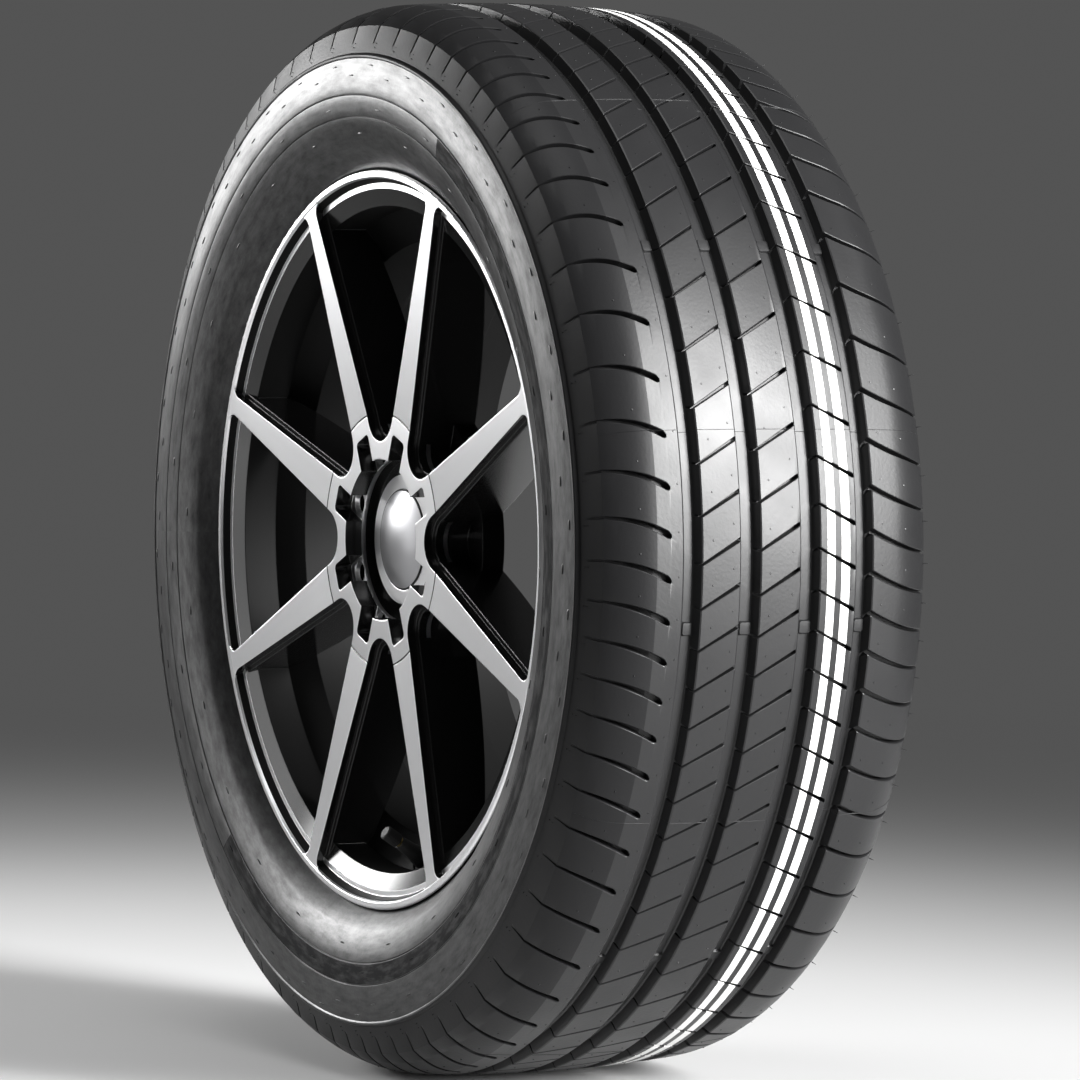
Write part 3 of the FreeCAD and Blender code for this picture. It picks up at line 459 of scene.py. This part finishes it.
def vent_marks():
    """Pips on the tread blocks, hairs at both shoulders and ticks on both sidewalls."""
    every = np.arange(PITCHES)
    parts = []
    for y, shift in PIPS:
        parts.append(lumps(*on_tread(y, shift, every), PIP_R, PIP_R, PIP_HEIGHT))
    angle = cut_angle(every)
    for side, radius, y, reach in HAIRS:
        centre, out, along = on_side(radius, side, angle + HAIR_SHIFT, y)
        out = out * HAIR_ASIDE + around_axis(np.full_like(angle, HAIR_AWAY), 0.0, angle)
        parts.append(lumps(centre, out, along, HAIR_R, HAIR_R, reach, shoulder=HAIR_TIP_SHARE))
    for side in (-1, 1):
        for radius, count, first in TICKS:
            angle = np.radians(first + np.arange(count) * 360.0 / count)
            half_width = float(sidewall_y(np.array([radius]))[0])
            places = on_side(radius, side, angle, half_width)
            parts.append(lumps(*places, TICK_HALF_LENGTH, TICK_HALF_WIDTH, TICK_HEIGHT))
    return joined(parts)


def wear_bars():
    """Low bars across the floors of the four grooves, nine round the tyre."""
    angle = np.radians(FIRST_BAR_DEG + np.arange(BARS) * 360.0 / BARS)
    parts = []
    for y, width in GROOVES:
        out = around_axis(np.ones_like(angle), 0.0, angle)
        along = np.stack([-np.sin(angle), 0 * angle, np.cos(angle)], axis=-1)
        centre = around_axis(crown_radius(y) - GROOVE_DEPTH + 0 * angle, y + BAR_SHIFT, angle)
        half_width = width / 2 - BAR_CLEARANCE
        parts.append(lumps(centre, out, along, BAR_HALF_LENGTH, half_width, BAR_HEIGHT,
                           square=0.3, shoulder=0.8))
    return joined(parts)


def parting_lines():
    """Fine raised lines across the tread where the mould's segments met, nine round the tyre: a triangle
    swept along the tread's profile."""
    parts = []
    shoulder = side_curve[:SHOULDER_STATIONS]
    path = np.concatenate([shoulder[::-1] * (-1, 1), tread_curve, shoulder])
    for angle in np.radians(FIRST_PARTING_DEG + np.arange(BARS) * 360.0 / BARS):
        rows = []
        for lift, spread in PARTING_SECTION:
            rows.append(around_axis(path[:, 1] + lift, path[:, 0], angle + spread / path[:, 1]))
        points = np.stack(rows, axis=1).reshape(-1, 3)
        last = len(path) - 1
        faces = [(3 * i + k, 3 * i + (k + 1) % 3, 3 * i + 3 + (k + 1) % 3, 3 * i + 3 + k)
                 for i in range(last) for k in range(3)]
        faces += [(2, 1, 0), (3 * last, 3 * last + 1, 3 * last + 2)]
        parts.append((points, faces))
    return joined(parts)


marks = []
for name, make in (("vent_marks", vent_marks), ("wear_bars", wear_bars), ("parting_lines", parting_lines)):
    piece = mesh_object(name, *make(), sharp_deg=50.0)
    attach(piece, "wheel")
    marks.append(piece)


# %% [markdown]
# ## The spring in the valve
#
# A coil spring can't ride on one body: its foot stays on the floor of the valve's core and its head goes
# down with the pin. So the spring is drawn here as a round wire along a helix at its resting length, with
# its axis read from the pin's joint in the record.

# %% Valve spring
VALVE_FOOT = np.array([0.0, -70.63, -227.27])
SPRING_LOW, SPRING_HIGH = 26.61, 29.99
COIL_R, WIRE_R, TURNS = 1.2, 0.16, 4
WIRE_STEPS, WIRE_SIDES = 128, 10


def joint_named(name):
    """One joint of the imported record."""
    return next(joint for joint in frame["record"]["behaviour"]["joints"] if joint["name"] == name)


def valve_spring(up):
    """Points and faces of a round wire along a helix: each ring of points stands on the helix, spread by
    the way out from the valve's axis and by the axis itself."""
    turn = np.linspace(0, 2 * np.pi * TURNS, WIRE_STEPS)[:, None]
    first = np.array([1.0, 0.0, 0.0])
    outward = first * np.cos(turn) + np.cross(up, first) * np.sin(turn)
    height = np.linspace(SPRING_LOW, SPRING_HIGH, WIRE_STEPS)[:, None]
    helix = VALVE_FOOT + up * height + outward * COIL_R
    ring = np.linspace(0, 2 * np.pi, WIRE_SIDES, endpoint=False)[None, :, None]
    points = helix[:, None] + WIRE_R * (outward[:, None] * np.cos(ring) + up * np.sin(ring))
    faces = []
    for i in range(WIRE_STEPS - 1):
        for k in range(WIRE_SIDES):
            here, beside = i * WIRE_SIDES + k, i * WIRE_SIDES + (k + 1) % WIRE_SIDES
            faces.append((here, here + WIRE_SIDES, beside + WIRE_SIDES, beside))
    ends = np.arange(WIRE_SIDES)
    faces.append(tuple(ends.tolist()))
    faces.append(tuple((ends[::-1] + (WIRE_STEPS - 1) * WIRE_SIDES).tolist()))
    return points.reshape(-1, 3), faces


press = joint_named("valve_pin_press")
valve_up = -np.array(press["axis"])
spring = mesh_object("valve_spring", *valve_spring(valve_up), sharp_deg=50.0)
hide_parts("valve_core_spring")
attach(spring, "wheel")
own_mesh(spring)


# %% [markdown]
# ## Tools for finishes
#
# A finish here is a formula of the place on the object, with no picture at all: a stripe is where y lies
# between two numbers, and a ring is where the radius does. Blender writes formulas as nodes, one for each
# sum or product. The small class below hides them, so that the finishes after it read as sentences.

# %% Material helpers
def new_material(name):
    """An empty node material with its shader; returns the material, its nodes, links and shader."""
    material = bpy.data.materials.new(name)
    material.use_nodes = True
    nodes, links = material.node_tree.nodes, material.node_tree.links
    return material, nodes, links, nodes["Principled BSDF"]


def plain_material(name, colour, roughness, metallic=0.0):
    """A material of one colour."""
    material, _, _, shader = new_material(name)
    shader.inputs["Base Color"].default_value = (*colour, 1.0)
    shader.inputs["Roughness"].default_value = roughness
    shader.inputs["Metallic"].default_value = metallic
    return material


def coordinates_of(nodes):
    """The point's own place on the object."""
    return nodes.new("ShaderNodeTexCoord").outputs["Object"]


def noise(nodes, links, vector, scale, detail, roughness=0.5):
    """Cloudy noise from 0 to 1 along a vector."""
    node = nodes.new("ShaderNodeTexNoise")
    node.inputs["Scale"].default_value = scale
    node.inputs["Detail"].default_value = detail
    node.inputs["Roughness"].default_value = roughness
    links.new(vector, node.inputs["Vector"])
    return node.outputs[0]


class Maths:
    """Short names for maths nodes in one material, so that a formula reads as a formula."""

    def __init__(self, nodes, links):
        self.nodes = nodes
        self.links = links

    def run(self, operation, *values):
        """One maths node; each value is a number or another node's output."""
        node = self.nodes.new("ShaderNodeMath")
        node.operation = operation
        for socket, value in zip(node.inputs, values):
            if isinstance(value, (int, float)):
                socket.default_value = value
            else:
                self.links.new(value, socket)
        return node.outputs[0]

    def between(self, value, low, high):
        """1 where low < value < high, else 0."""
        above = self.run("GREATER_THAN", value, low)
        below = self.run("LESS_THAN", value, high)
        return self.run("MULTIPLY", above, below)

    def place(self):
        """x, y, z of the point in metres, and its radius about Y."""
        x, y, z = self.parts(coordinates_of(self.nodes))
        squares = self.run("ADD", self.run("MULTIPLY", x, x), self.run("MULTIPLY", z, z))
        return x, y, z, self.run("SQRT", squares)

    def both(self, one, other):
        """1 where both factors are 1."""
        return self.run("MULTIPLY", one, other)

    def parts(self, vector):
        """x, y and z of a vector."""
        split = self.nodes.new("ShaderNodeSeparateXYZ")
        self.links.new(vector, split.inputs[0])
        return split.outputs

    def facing(self):
        """x, y and z of the face's own normal."""
        return self.parts(self.nodes.new("ShaderNodeNewGeometry").outputs["True Normal"])

    def vector(self, *values):
        """A vector from its x, y and z; z may be left out."""
        whole = self.nodes.new("ShaderNodeCombineXYZ")
        for socket, value in zip(whole.inputs, values):
            self.links.new(value, socket)
        return whole.outputs[0]

    def unit(self, *values):
        """A vector from its x, y and z, one long."""
        node = self.nodes.new("ShaderNodeVectorMath")
        node.operation = "NORMALIZE"
        self.links.new(self.vector(*values), node.inputs[0])
        return node.outputs[0]

    def swapped(self, factor, value, other):
        """A value where the factor is 0 and another where it is 1."""
        change = self.run("SUBTRACT", other, value)
        return self.run("ADD", value, self.run("MULTIPLY", factor, change))

    def mix(self, factor, low, high):
        """A colour mixed from two colours by a factor."""
        node = self.nodes.new("ShaderNodeMix")
        node.data_type = "RGBA"
        self.links.new(factor, node.inputs["Factor"])
        node.inputs["A"].default_value = (*low, 1.0)
        node.inputs["B"].default_value = (*high, 1.0)
        return node.outputs["Result"]

    def lerp(self, factor, low, high):
        """A number between two numbers by a factor."""
        return self.run("ADD", self.run("MULTIPLY", factor, high - low), low)


# %% [markdown]
# ## Rubber
#
# Rubber is dark and half matt: the light slides over it in broad soft bands. The sidewall is smoother
# than the tread, and wiping has left streaks that run round it. Two paint stripes lie on one rib.

# %% Rubber
RUBBER = (0.011, 0.011, 0.0115)
PAINT = (0.72, 0.72, 0.71)
STRIPES = ((0.0354, 0.0415), (0.0464, 0.0529))
RIB_TOP_R = 0.3792
RIDGE_R = 0.3405
BUTTRESS_Y = -0.09
DULL_BAND_R = (0.2984, 0.3122)
DULL_BAND_ANGLE = (-2.3, 1.08)
OUTBOARD_WALL_Y = -0.12
TREAD_GLOSS, WALL_GLOSS, LEAST_GLOSS = 0.38, 0.5, 0.08
BUTTRESS_LOSS = 0.24
DULL_BAND_GLOSS = 0.3
STREAKS_OUT, STREAKS_ROUND, STREAK_STRENGTH = 220.0, 16.0, 1.3
SHINIEST, DULLEST = 0.28, 0.50
PAINT_DULLER, BAND_DULLER = 0.25, 0.4
CLOUD_SCALE, GRAIN_SCALE = 18.0, 420.0
GRAIN_STRENGTH, GRAIN_DEPTH = 0.12, 0.0006


def rubber_gloss(maths, y, radius, angle, band):
    """How strongly the rubber mirrors: most on the sidewall, where it is smeared round the wheel in
    streaks, less on the tread, and least between the ridge and the tread and in the dull band."""
    streaks = maths.vector(maths.run("MULTIPLY", radius, STREAKS_OUT),
                           maths.run("MULTIPLY", angle, STREAKS_ROUND))
    smear = noise(maths.nodes, maths.links, streaks, 1.0, 6.0, 0.65)
    on_wall = maths.run("LESS_THAN", radius, RIDGE_R)
    patchy = maths.both(on_wall, maths.run("SUBTRACT", smear, 0.5))
    buttress = maths.both(maths.run("GREATER_THAN", radius, RIDGE_R), maths.run("LESS_THAN", y, BUTTRESS_Y))
    level = maths.run("SUBTRACT", maths.lerp(on_wall, TREAD_GLOSS, WALL_GLOSS),
                      maths.run("MULTIPLY", buttress, BUTTRESS_LOSS))
    level = maths.run("MULTIPLY", level, maths.lerp(band, 1.0, DULL_BAND_GLOSS))
    gloss = maths.run("ADD", level, maths.run("MULTIPLY", patchy, STREAK_STRENGTH))
    return maths.run("MAXIMUM", gloss, LEAST_GLOSS)


def rubber_material():
    """Tyre rubber with two white paint stripes on the tops of the fourth rib."""
    material, nodes, links, shader = new_material("tyre rubber")
    maths = Maths(nodes, links)
    x, y, z, radius = maths.place()
    angle = maths.run("ARCTAN2", z, x)
    stripes = maths.run("ADD", *[maths.between(y, low, high) for low, high in STRIPES])
    painted = maths.both(stripes, maths.run("GREATER_THAN", radius, RIB_TOP_R))
    links.new(maths.mix(painted, RUBBER, PAINT), shader.inputs["Base Color"])
    band = maths.both(maths.between(radius, *DULL_BAND_R), maths.run("LESS_THAN", y, OUTBOARD_WALL_Y))
    band = maths.both(band, maths.between(angle, *DULL_BAND_ANGLE))
    cloud = noise(nodes, links, coordinates_of(nodes), CLOUD_SCALE, 4.0)
    sheen = maths.lerp(cloud, SHINIEST, DULLEST)
    dull = maths.run("ADD", maths.run("MULTIPLY", painted, PAINT_DULLER),
                     maths.run("MULTIPLY", band, BAND_DULLER))
    links.new(maths.run("ADD", sheen, dull), shader.inputs["Roughness"])
    links.new(rubber_gloss(maths, y, radius, angle, band), shader.inputs["Specular IOR Level"])
    bump = nodes.new("ShaderNodeBump")
    bump.inputs["Strength"].default_value = GRAIN_STRENGTH
    bump.inputs["Distance"].default_value = GRAIN_DEPTH
    links.new(noise(nodes, links, coordinates_of(nodes), GRAIN_SCALE, 3.0), bump.inputs["Height"])
    links.new(bump.outputs[0], shader.inputs["Normal"])
    return material


rubber = rubber_material()
for piece in [tyre] + marks:
    piece.data.materials.append(rubber)


# %% [markdown]
# ## Alloy
#
# The casting was painted black all over, and then its face was turned on a lathe, which left bare bright
# metal only where the tool reached: the lip, the spokes' faces, the hub and the pocket floors. So the
# paint is told from the metal by where a point lies and by which way its face looks.

# %% Alloy
BLACK_PAINT = (0.006, 0.006, 0.006)
BARE_METAL = (0.80, 0.80, 0.81)
HUB_R, HUB_FACE_Y, FACE_SLOPE = 0.09, -0.1033, 0.0512
HUB_LINE_R = (0.0893, 0.0907)
FLANGE_FROM_R = 0.2535
FLANGE_EDGE_Y = -0.1112
LOOKS_OUTBOARD, LOOKS_INWARD = -0.9, -0.1
PAINT_GLOSS, BARREL_GLOSS = 0.5, 0.08
PAINT_ROUGH, BARREL_ROUGH, METAL_ROUGH = 0.16, 0.5, 0.30
EDGE_ROUND = 0.0012
# Radius and y of flat places that the tool also reached: the lip's step, the collar and pocket floors
TURNED_FLATS = (
    ((0.2478, 0.2525), (-0.1070, -0.1058)),
    ((0.0355, 0.0465), (-0.0866, -0.0854)),
    ((0.047, 0.078), (-0.0936, -0.0904)),
)
LUG_SEATS = ((0.047, 0.083), (-0.0912, -0.0878))


def bare_metal(maths, y, radius, facing_y, on_flange):
    """1 where the metal is bare: on faces that look outboard and lie on the spokes' face or on one of
    the turned flats, in the lug seats and on the flange's edge, but not in the line round the hub."""
    rise = maths.run("MAXIMUM", maths.run("SUBTRACT", radius, HUB_R), 0.0)
    face_y = maths.run("SUBTRACT", HUB_FACE_Y, maths.run("MULTIPLY", rise, FACE_SLOPE))
    bare = maths.run("LESS_THAN", y, face_y)
    for across, deep in TURNED_FLATS:
        flat = maths.both(maths.between(radius, *across), maths.between(y, *deep))
        bare = maths.run("ADD", bare, flat)
    bare = maths.both(bare, maths.run("LESS_THAN", facing_y, LOOKS_OUTBOARD))
    across, deep = LUG_SEATS
    seat = maths.both(maths.between(radius, *across), maths.between(y, *deep))
    bare = maths.run("MINIMUM", maths.run("ADD", bare, seat), 1.0)
    edge = maths.both(on_flange, maths.run("LESS_THAN", y, FLANGE_EDGE_Y))
    off_line = maths.run("SUBTRACT", 1.0, maths.between(radius, *HUB_LINE_R))
    return maths.both(maths.run("MAXIMUM", bare, edge), off_line)


def turned_normal(maths, normal, where):
    """The normal of a surface turned on a lathe: it has no part along the turning direction, so only its
    parts along the axle and away from the axle stay. Used where the factor is 1."""
    x, _, z, radius = maths.place()
    normal_x, normal_y, normal_z = maths.parts(normal)
    unit_x = maths.run("DIVIDE", x, radius)
    unit_z = maths.run("DIVIDE", z, radius)
    away = maths.run("ADD", maths.run("MULTIPLY", normal_x, unit_x),
                     maths.run("MULTIPLY", normal_z, unit_z))
    turned_x = maths.swapped(where, normal_x, maths.run("MULTIPLY", away, unit_x))
    turned_z = maths.swapped(where, normal_z, maths.run("MULTIPLY", away, unit_z))
    return maths.unit(turned_x, normal_y, turned_z)


def alloy_material():
    """Black paint, glossy but for the barrel's inside, and bare turned metal."""
    material, nodes, links, shader = new_material("alloy, painted and turned")
    maths = Maths(nodes, links)
    x, y, z, radius = maths.place()
    facing_x, facing_y, facing_z = maths.facing()
    on_flange = maths.run("GREATER_THAN", radius, FLANGE_FROM_R)
    bare = bare_metal(maths, y, radius, facing_y, on_flange)
    links.new(maths.mix(bare, BLACK_PAINT, BARE_METAL), shader.inputs["Base Color"])
    links.new(bare, shader.inputs["Metallic"])
    away = maths.run("ADD", maths.run("MULTIPLY", facing_x, x), maths.run("MULTIPLY", facing_z, z))
    barrel = maths.run("LESS_THAN", away, LOOKS_INWARD)
    links.new(maths.lerp(barrel, PAINT_GLOSS, BARREL_GLOSS), shader.inputs["Specular IOR Level"])
    painted = maths.run("SUBTRACT", 1.0, bare)
    paint_rough = maths.run("MULTIPLY", maths.lerp(barrel, PAINT_ROUGH, BARREL_ROUGH), painted)
    metal_rough = maths.run("MULTIPLY", bare, METAL_ROUGH)
    links.new(maths.run("ADD", paint_rough, metal_rough), shader.inputs["Roughness"])
    rounded = nodes.new("ShaderNodeBevel")
    rounded.samples = 4
    rounded.inputs["Radius"].default_value = EDGE_ROUND
    links.new(turned_normal(maths, rounded.outputs["Normal"], on_flange), shader.inputs["Normal"])
    return material


print("metal bare on the face and", len(TURNED_FLATS), "turned flats")


# %% [markdown]
# ## Cap, valve and springs
#
# The cap is lacquered silver and shades like part of a ball, with a painted shadow line round its dome.
# The valve's body, washers and dust cap are dark, and its stem, core and pin are brass. Each node of the
# CAD keeps its shape and gets its finish.

# %% Cap and valve
CAP_SILVER = (0.33, 0.33, 0.34)
# The painted shadow line on the cap: its colour, then its inner and outer radius
CAP_SHADOW = (0.03, 0.03, 0.03)
CAP_SHADOW_LINE = (0.0346, 0.0357)
CAP_BALL_R = 0.085
CAP_ROUGH, CAP_SHADOW_LINE_ROUGH, CAP_METALLIC = 0.34, 0.6, 0.9
LOOKS_OUT_OF_DOME = -0.6


def cap_material():
    """Silver lacquer that shades as part of a ball, with a painted shadow line between the dome and its
    rim: the shade of a fine groove that the solid doesn't have. The ball's normal at a place is that
    place's way from the ball's centre on the axle."""
    material, nodes, links, shader = new_material("silver lacquer")
    maths = Maths(nodes, links)
    x, _, z, radius = maths.place()
    facing_x, facing_y, facing_z = maths.facing()
    # Painted shadow: a dark ring at the dome's edge stands for the shade of a fine groove the solid doesn't
    # have
    line = maths.between(radius, *CAP_SHADOW_LINE)
    links.new(maths.mix(line, CAP_SILVER, CAP_SHADOW), shader.inputs["Base Color"])
    links.new(maths.lerp(line, CAP_ROUGH, CAP_SHADOW_LINE_ROUGH), shader.inputs["Roughness"])
    shader.inputs["Metallic"].default_value = CAP_METALLIC
    on_dome = maths.run("LESS_THAN", facing_y, LOOKS_OUT_OF_DOME)
    ball_x = maths.swapped(on_dome, facing_x, maths.run("DIVIDE", x, CAP_BALL_R))
    ball_z = maths.swapped(on_dome, facing_z, maths.run("DIVIDE", z, CAP_BALL_R))
    links.new(maths.unit(ball_x, facing_y, ball_z), shader.inputs["Normal"])
    return material


def finish_nodes():
    """Gives every CAD node that stays its own finish."""
    finishes = {
        "alloy_wheel": alloy_material(),
        "centre_cap": cap_material(),
        "centre_cap_spring_ring": plain_material("spring wire", (0.5, 0.5, 0.5), 0.3, 1.0),
        "valve_body": plain_material("valve rubber", (0.012, 0.012, 0.012), 0.6),
        "valve_stem": plain_material("brass", (0.62, 0.47, 0.2), 0.3, 1.0),
        "valve_cap": plain_material("valve plastic", (0.008, 0.008, 0.008), 0.6),
    }
    finishes["valve_core"] = finishes["valve_stem"]
    finishes["valve_core_pin"] = finishes["valve_stem"]
    finishes["valve_core_seal"] = finishes["valve_body"]
    finishes["valve_cap_gasket"] = finishes["valve_body"]
    for name, material in finishes.items():
        node = frame["nodes"][name]
        node.data.materials.clear()
        node.data.materials.append(material)
    spring.data.materials.append(finishes["centre_cap_spring_ring"])
    print("finishes", len(finishes))


finish_nodes()


# %% [markdown]
# ## Studio and camera
#
# The wheel is seen from its outboard side, turned well round, from just above the axle and through a
# long lens. A low light on the left, kept narrow by a honeycomb, draws the bright bands on the sidewall.
# A tall one nearer the front fills the turned metal, one behind on the right draws the tread, and one
# overhead softens the shadows. The floor is pale under the wheel and fades into the grey further off.

# %% Studio
WORLD = (0.55, 0.55, 0.55)
WORLD_STRENGTH = 0.16
CAMERA_AT = (3.1466, -1.6367, 0.0894)
CAMERA_BACK = (0.8995, -0.4356, 0.0256)
CAMERA_RIGHT = (0.4358, 0.9000, 0.0)
CAMERA_TURN_DEG = 1.982
LENS_MM, SENSOR_MM = 164.93, 36.0
FLOOR = (0.66, 0.66, 0.66)
FLOOR_Z = -0.3815
FLOOR_HALF = 6.0
FLOOR_FADE = (1.2, 4.5)
# Per light: where it stands, where it looks, its two sizes, its power and its spread in degrees
LIGHTS = {
    "sidewall": ((-2.62, -1.35, 0.85), (0, -0.1, 0), (1.7, 0.9), 9.2, 60.0),
    "face": ((-1.55, -2.3, 0.0), (0, -0.1, 0), (0.9, 2.4), 17.0, 180.0),
    "tread": ((2.65, 1.2, 0.95), (0.3, 0, 0), (0.9, 2.4), 54.0, 60.0),
    "top": ((0.2, -0.6, 2.8), (0, 0, 0), (1.5, 1.5), 22.0, 180.0),
}


def area_light(name, at, target, size, power, spread_deg):
    """A soft rectangular light at one point that looks at another; a small spread is a honeycomb on it."""
    data = bpy.data.lights.new(name, "AREA")
    data.shape = "RECTANGLE"
    data.size, data.size_y = size
    data.energy = power
    data.spread = math.radians(spread_deg)
    light = bpy.data.objects.new(name, data)
    light.location = at
    light.rotation_euler = (Vector(target) - Vector(at)).to_track_quat("-Z", "Y").to_euler()
    bpy.context.scene.collection.objects.link(light)


def floor_material():
    """Pale matt floor that fades into the grey of the studio, so that no edge shows behind the wheel."""
    material, nodes, links, shader = new_material("floor")
    maths = Maths(nodes, links)
    shader.inputs["Base Color"].default_value = (*FLOOR, 1.0)
    shader.inputs["Roughness"].default_value = 0.8
    x, y, _, _ = maths.place()
    away = maths.run("SQRT", maths.run("ADD", maths.run("MULTIPLY", x, x), maths.run("MULTIPLY", y, y)))
    fade = nodes.new("ShaderNodeMapRange")
    fade.interpolation_type = "SMOOTHSTEP"
    fade.inputs["From Min"].default_value, fade.inputs["From Max"].default_value = FLOOR_FADE
    links.new(away, fade.inputs["Value"])
    haze = nodes.new("ShaderNodeEmission")
    haze.inputs["Color"].default_value = (*WORLD, 1.0)
    haze.inputs["Strength"].default_value = WORLD_STRENGTH
    mixed = nodes.new("ShaderNodeMixShader")
    links.new(fade.outputs[0], mixed.inputs[0])
    links.new(shader.outputs[0], mixed.inputs[1])
    links.new(haze.outputs[0], mixed.inputs[2])
    links.new(mixed.outputs[0], nodes["Material Output"].inputs["Surface"])
    return material


def studio():
    """Pale floor, soft lights and an even grey world."""
    scene = bpy.context.scene
    scene.view_settings.view_transform = "Standard"
    mesh = bpy.data.meshes.new("floor")
    corners = [(x * FLOOR_HALF, y * FLOOR_HALF, FLOOR_Z) for x, y in ((-1, -1), (1, -1), (1, 1), (-1, 1))]
    mesh.from_pydata(corners, [], [(0, 1, 2, 3)])
    floor = bpy.data.objects.new("floor", mesh)
    scene.collection.objects.link(floor)
    floor.data.materials.append(floor_material())
    world = bpy.data.worlds.new("studio")
    world.use_nodes = True
    world.node_tree.nodes["Background"].inputs["Color"].default_value = (*WORLD, 1.0)
    world.node_tree.nodes["Background"].inputs["Strength"].default_value = WORLD_STRENGTH
    scene.world = world
    for name, settings in LIGHTS.items():
        area_light(name, *settings)
    print("lights", len(LIGHTS))


def camera():
    """A long lens, 64 degrees round from the outboard face, just above the axle and turned a little aside:
    the way it looks is the way back to the wheel, turned about the upright."""
    data = bpy.data.cameras.new("camera")
    data.sensor_width = SENSOR_MM
    data.lens = LENS_MM
    cam = bpy.data.objects.new("camera", data)
    back = Vector(CAMERA_BACK).normalized()
    right = Vector(CAMERA_RIGHT).normalized()
    turn = math.radians(CAMERA_TURN_DEG)
    look = -back * math.cos(turn) + right * math.sin(turn)
    side = (look.cross(Vector((0, 0, 1)))).normalized()
    up = side.cross(look)
    turned = Matrix((side, up, -look)).transposed()
    cam.matrix_world = Matrix.Translation(Vector(CAMERA_AT)) @ turned.to_4x4()
    bpy.context.scene.collection.objects.link(cam)
    bpy.context.scene.camera = cam


studio()
camera()
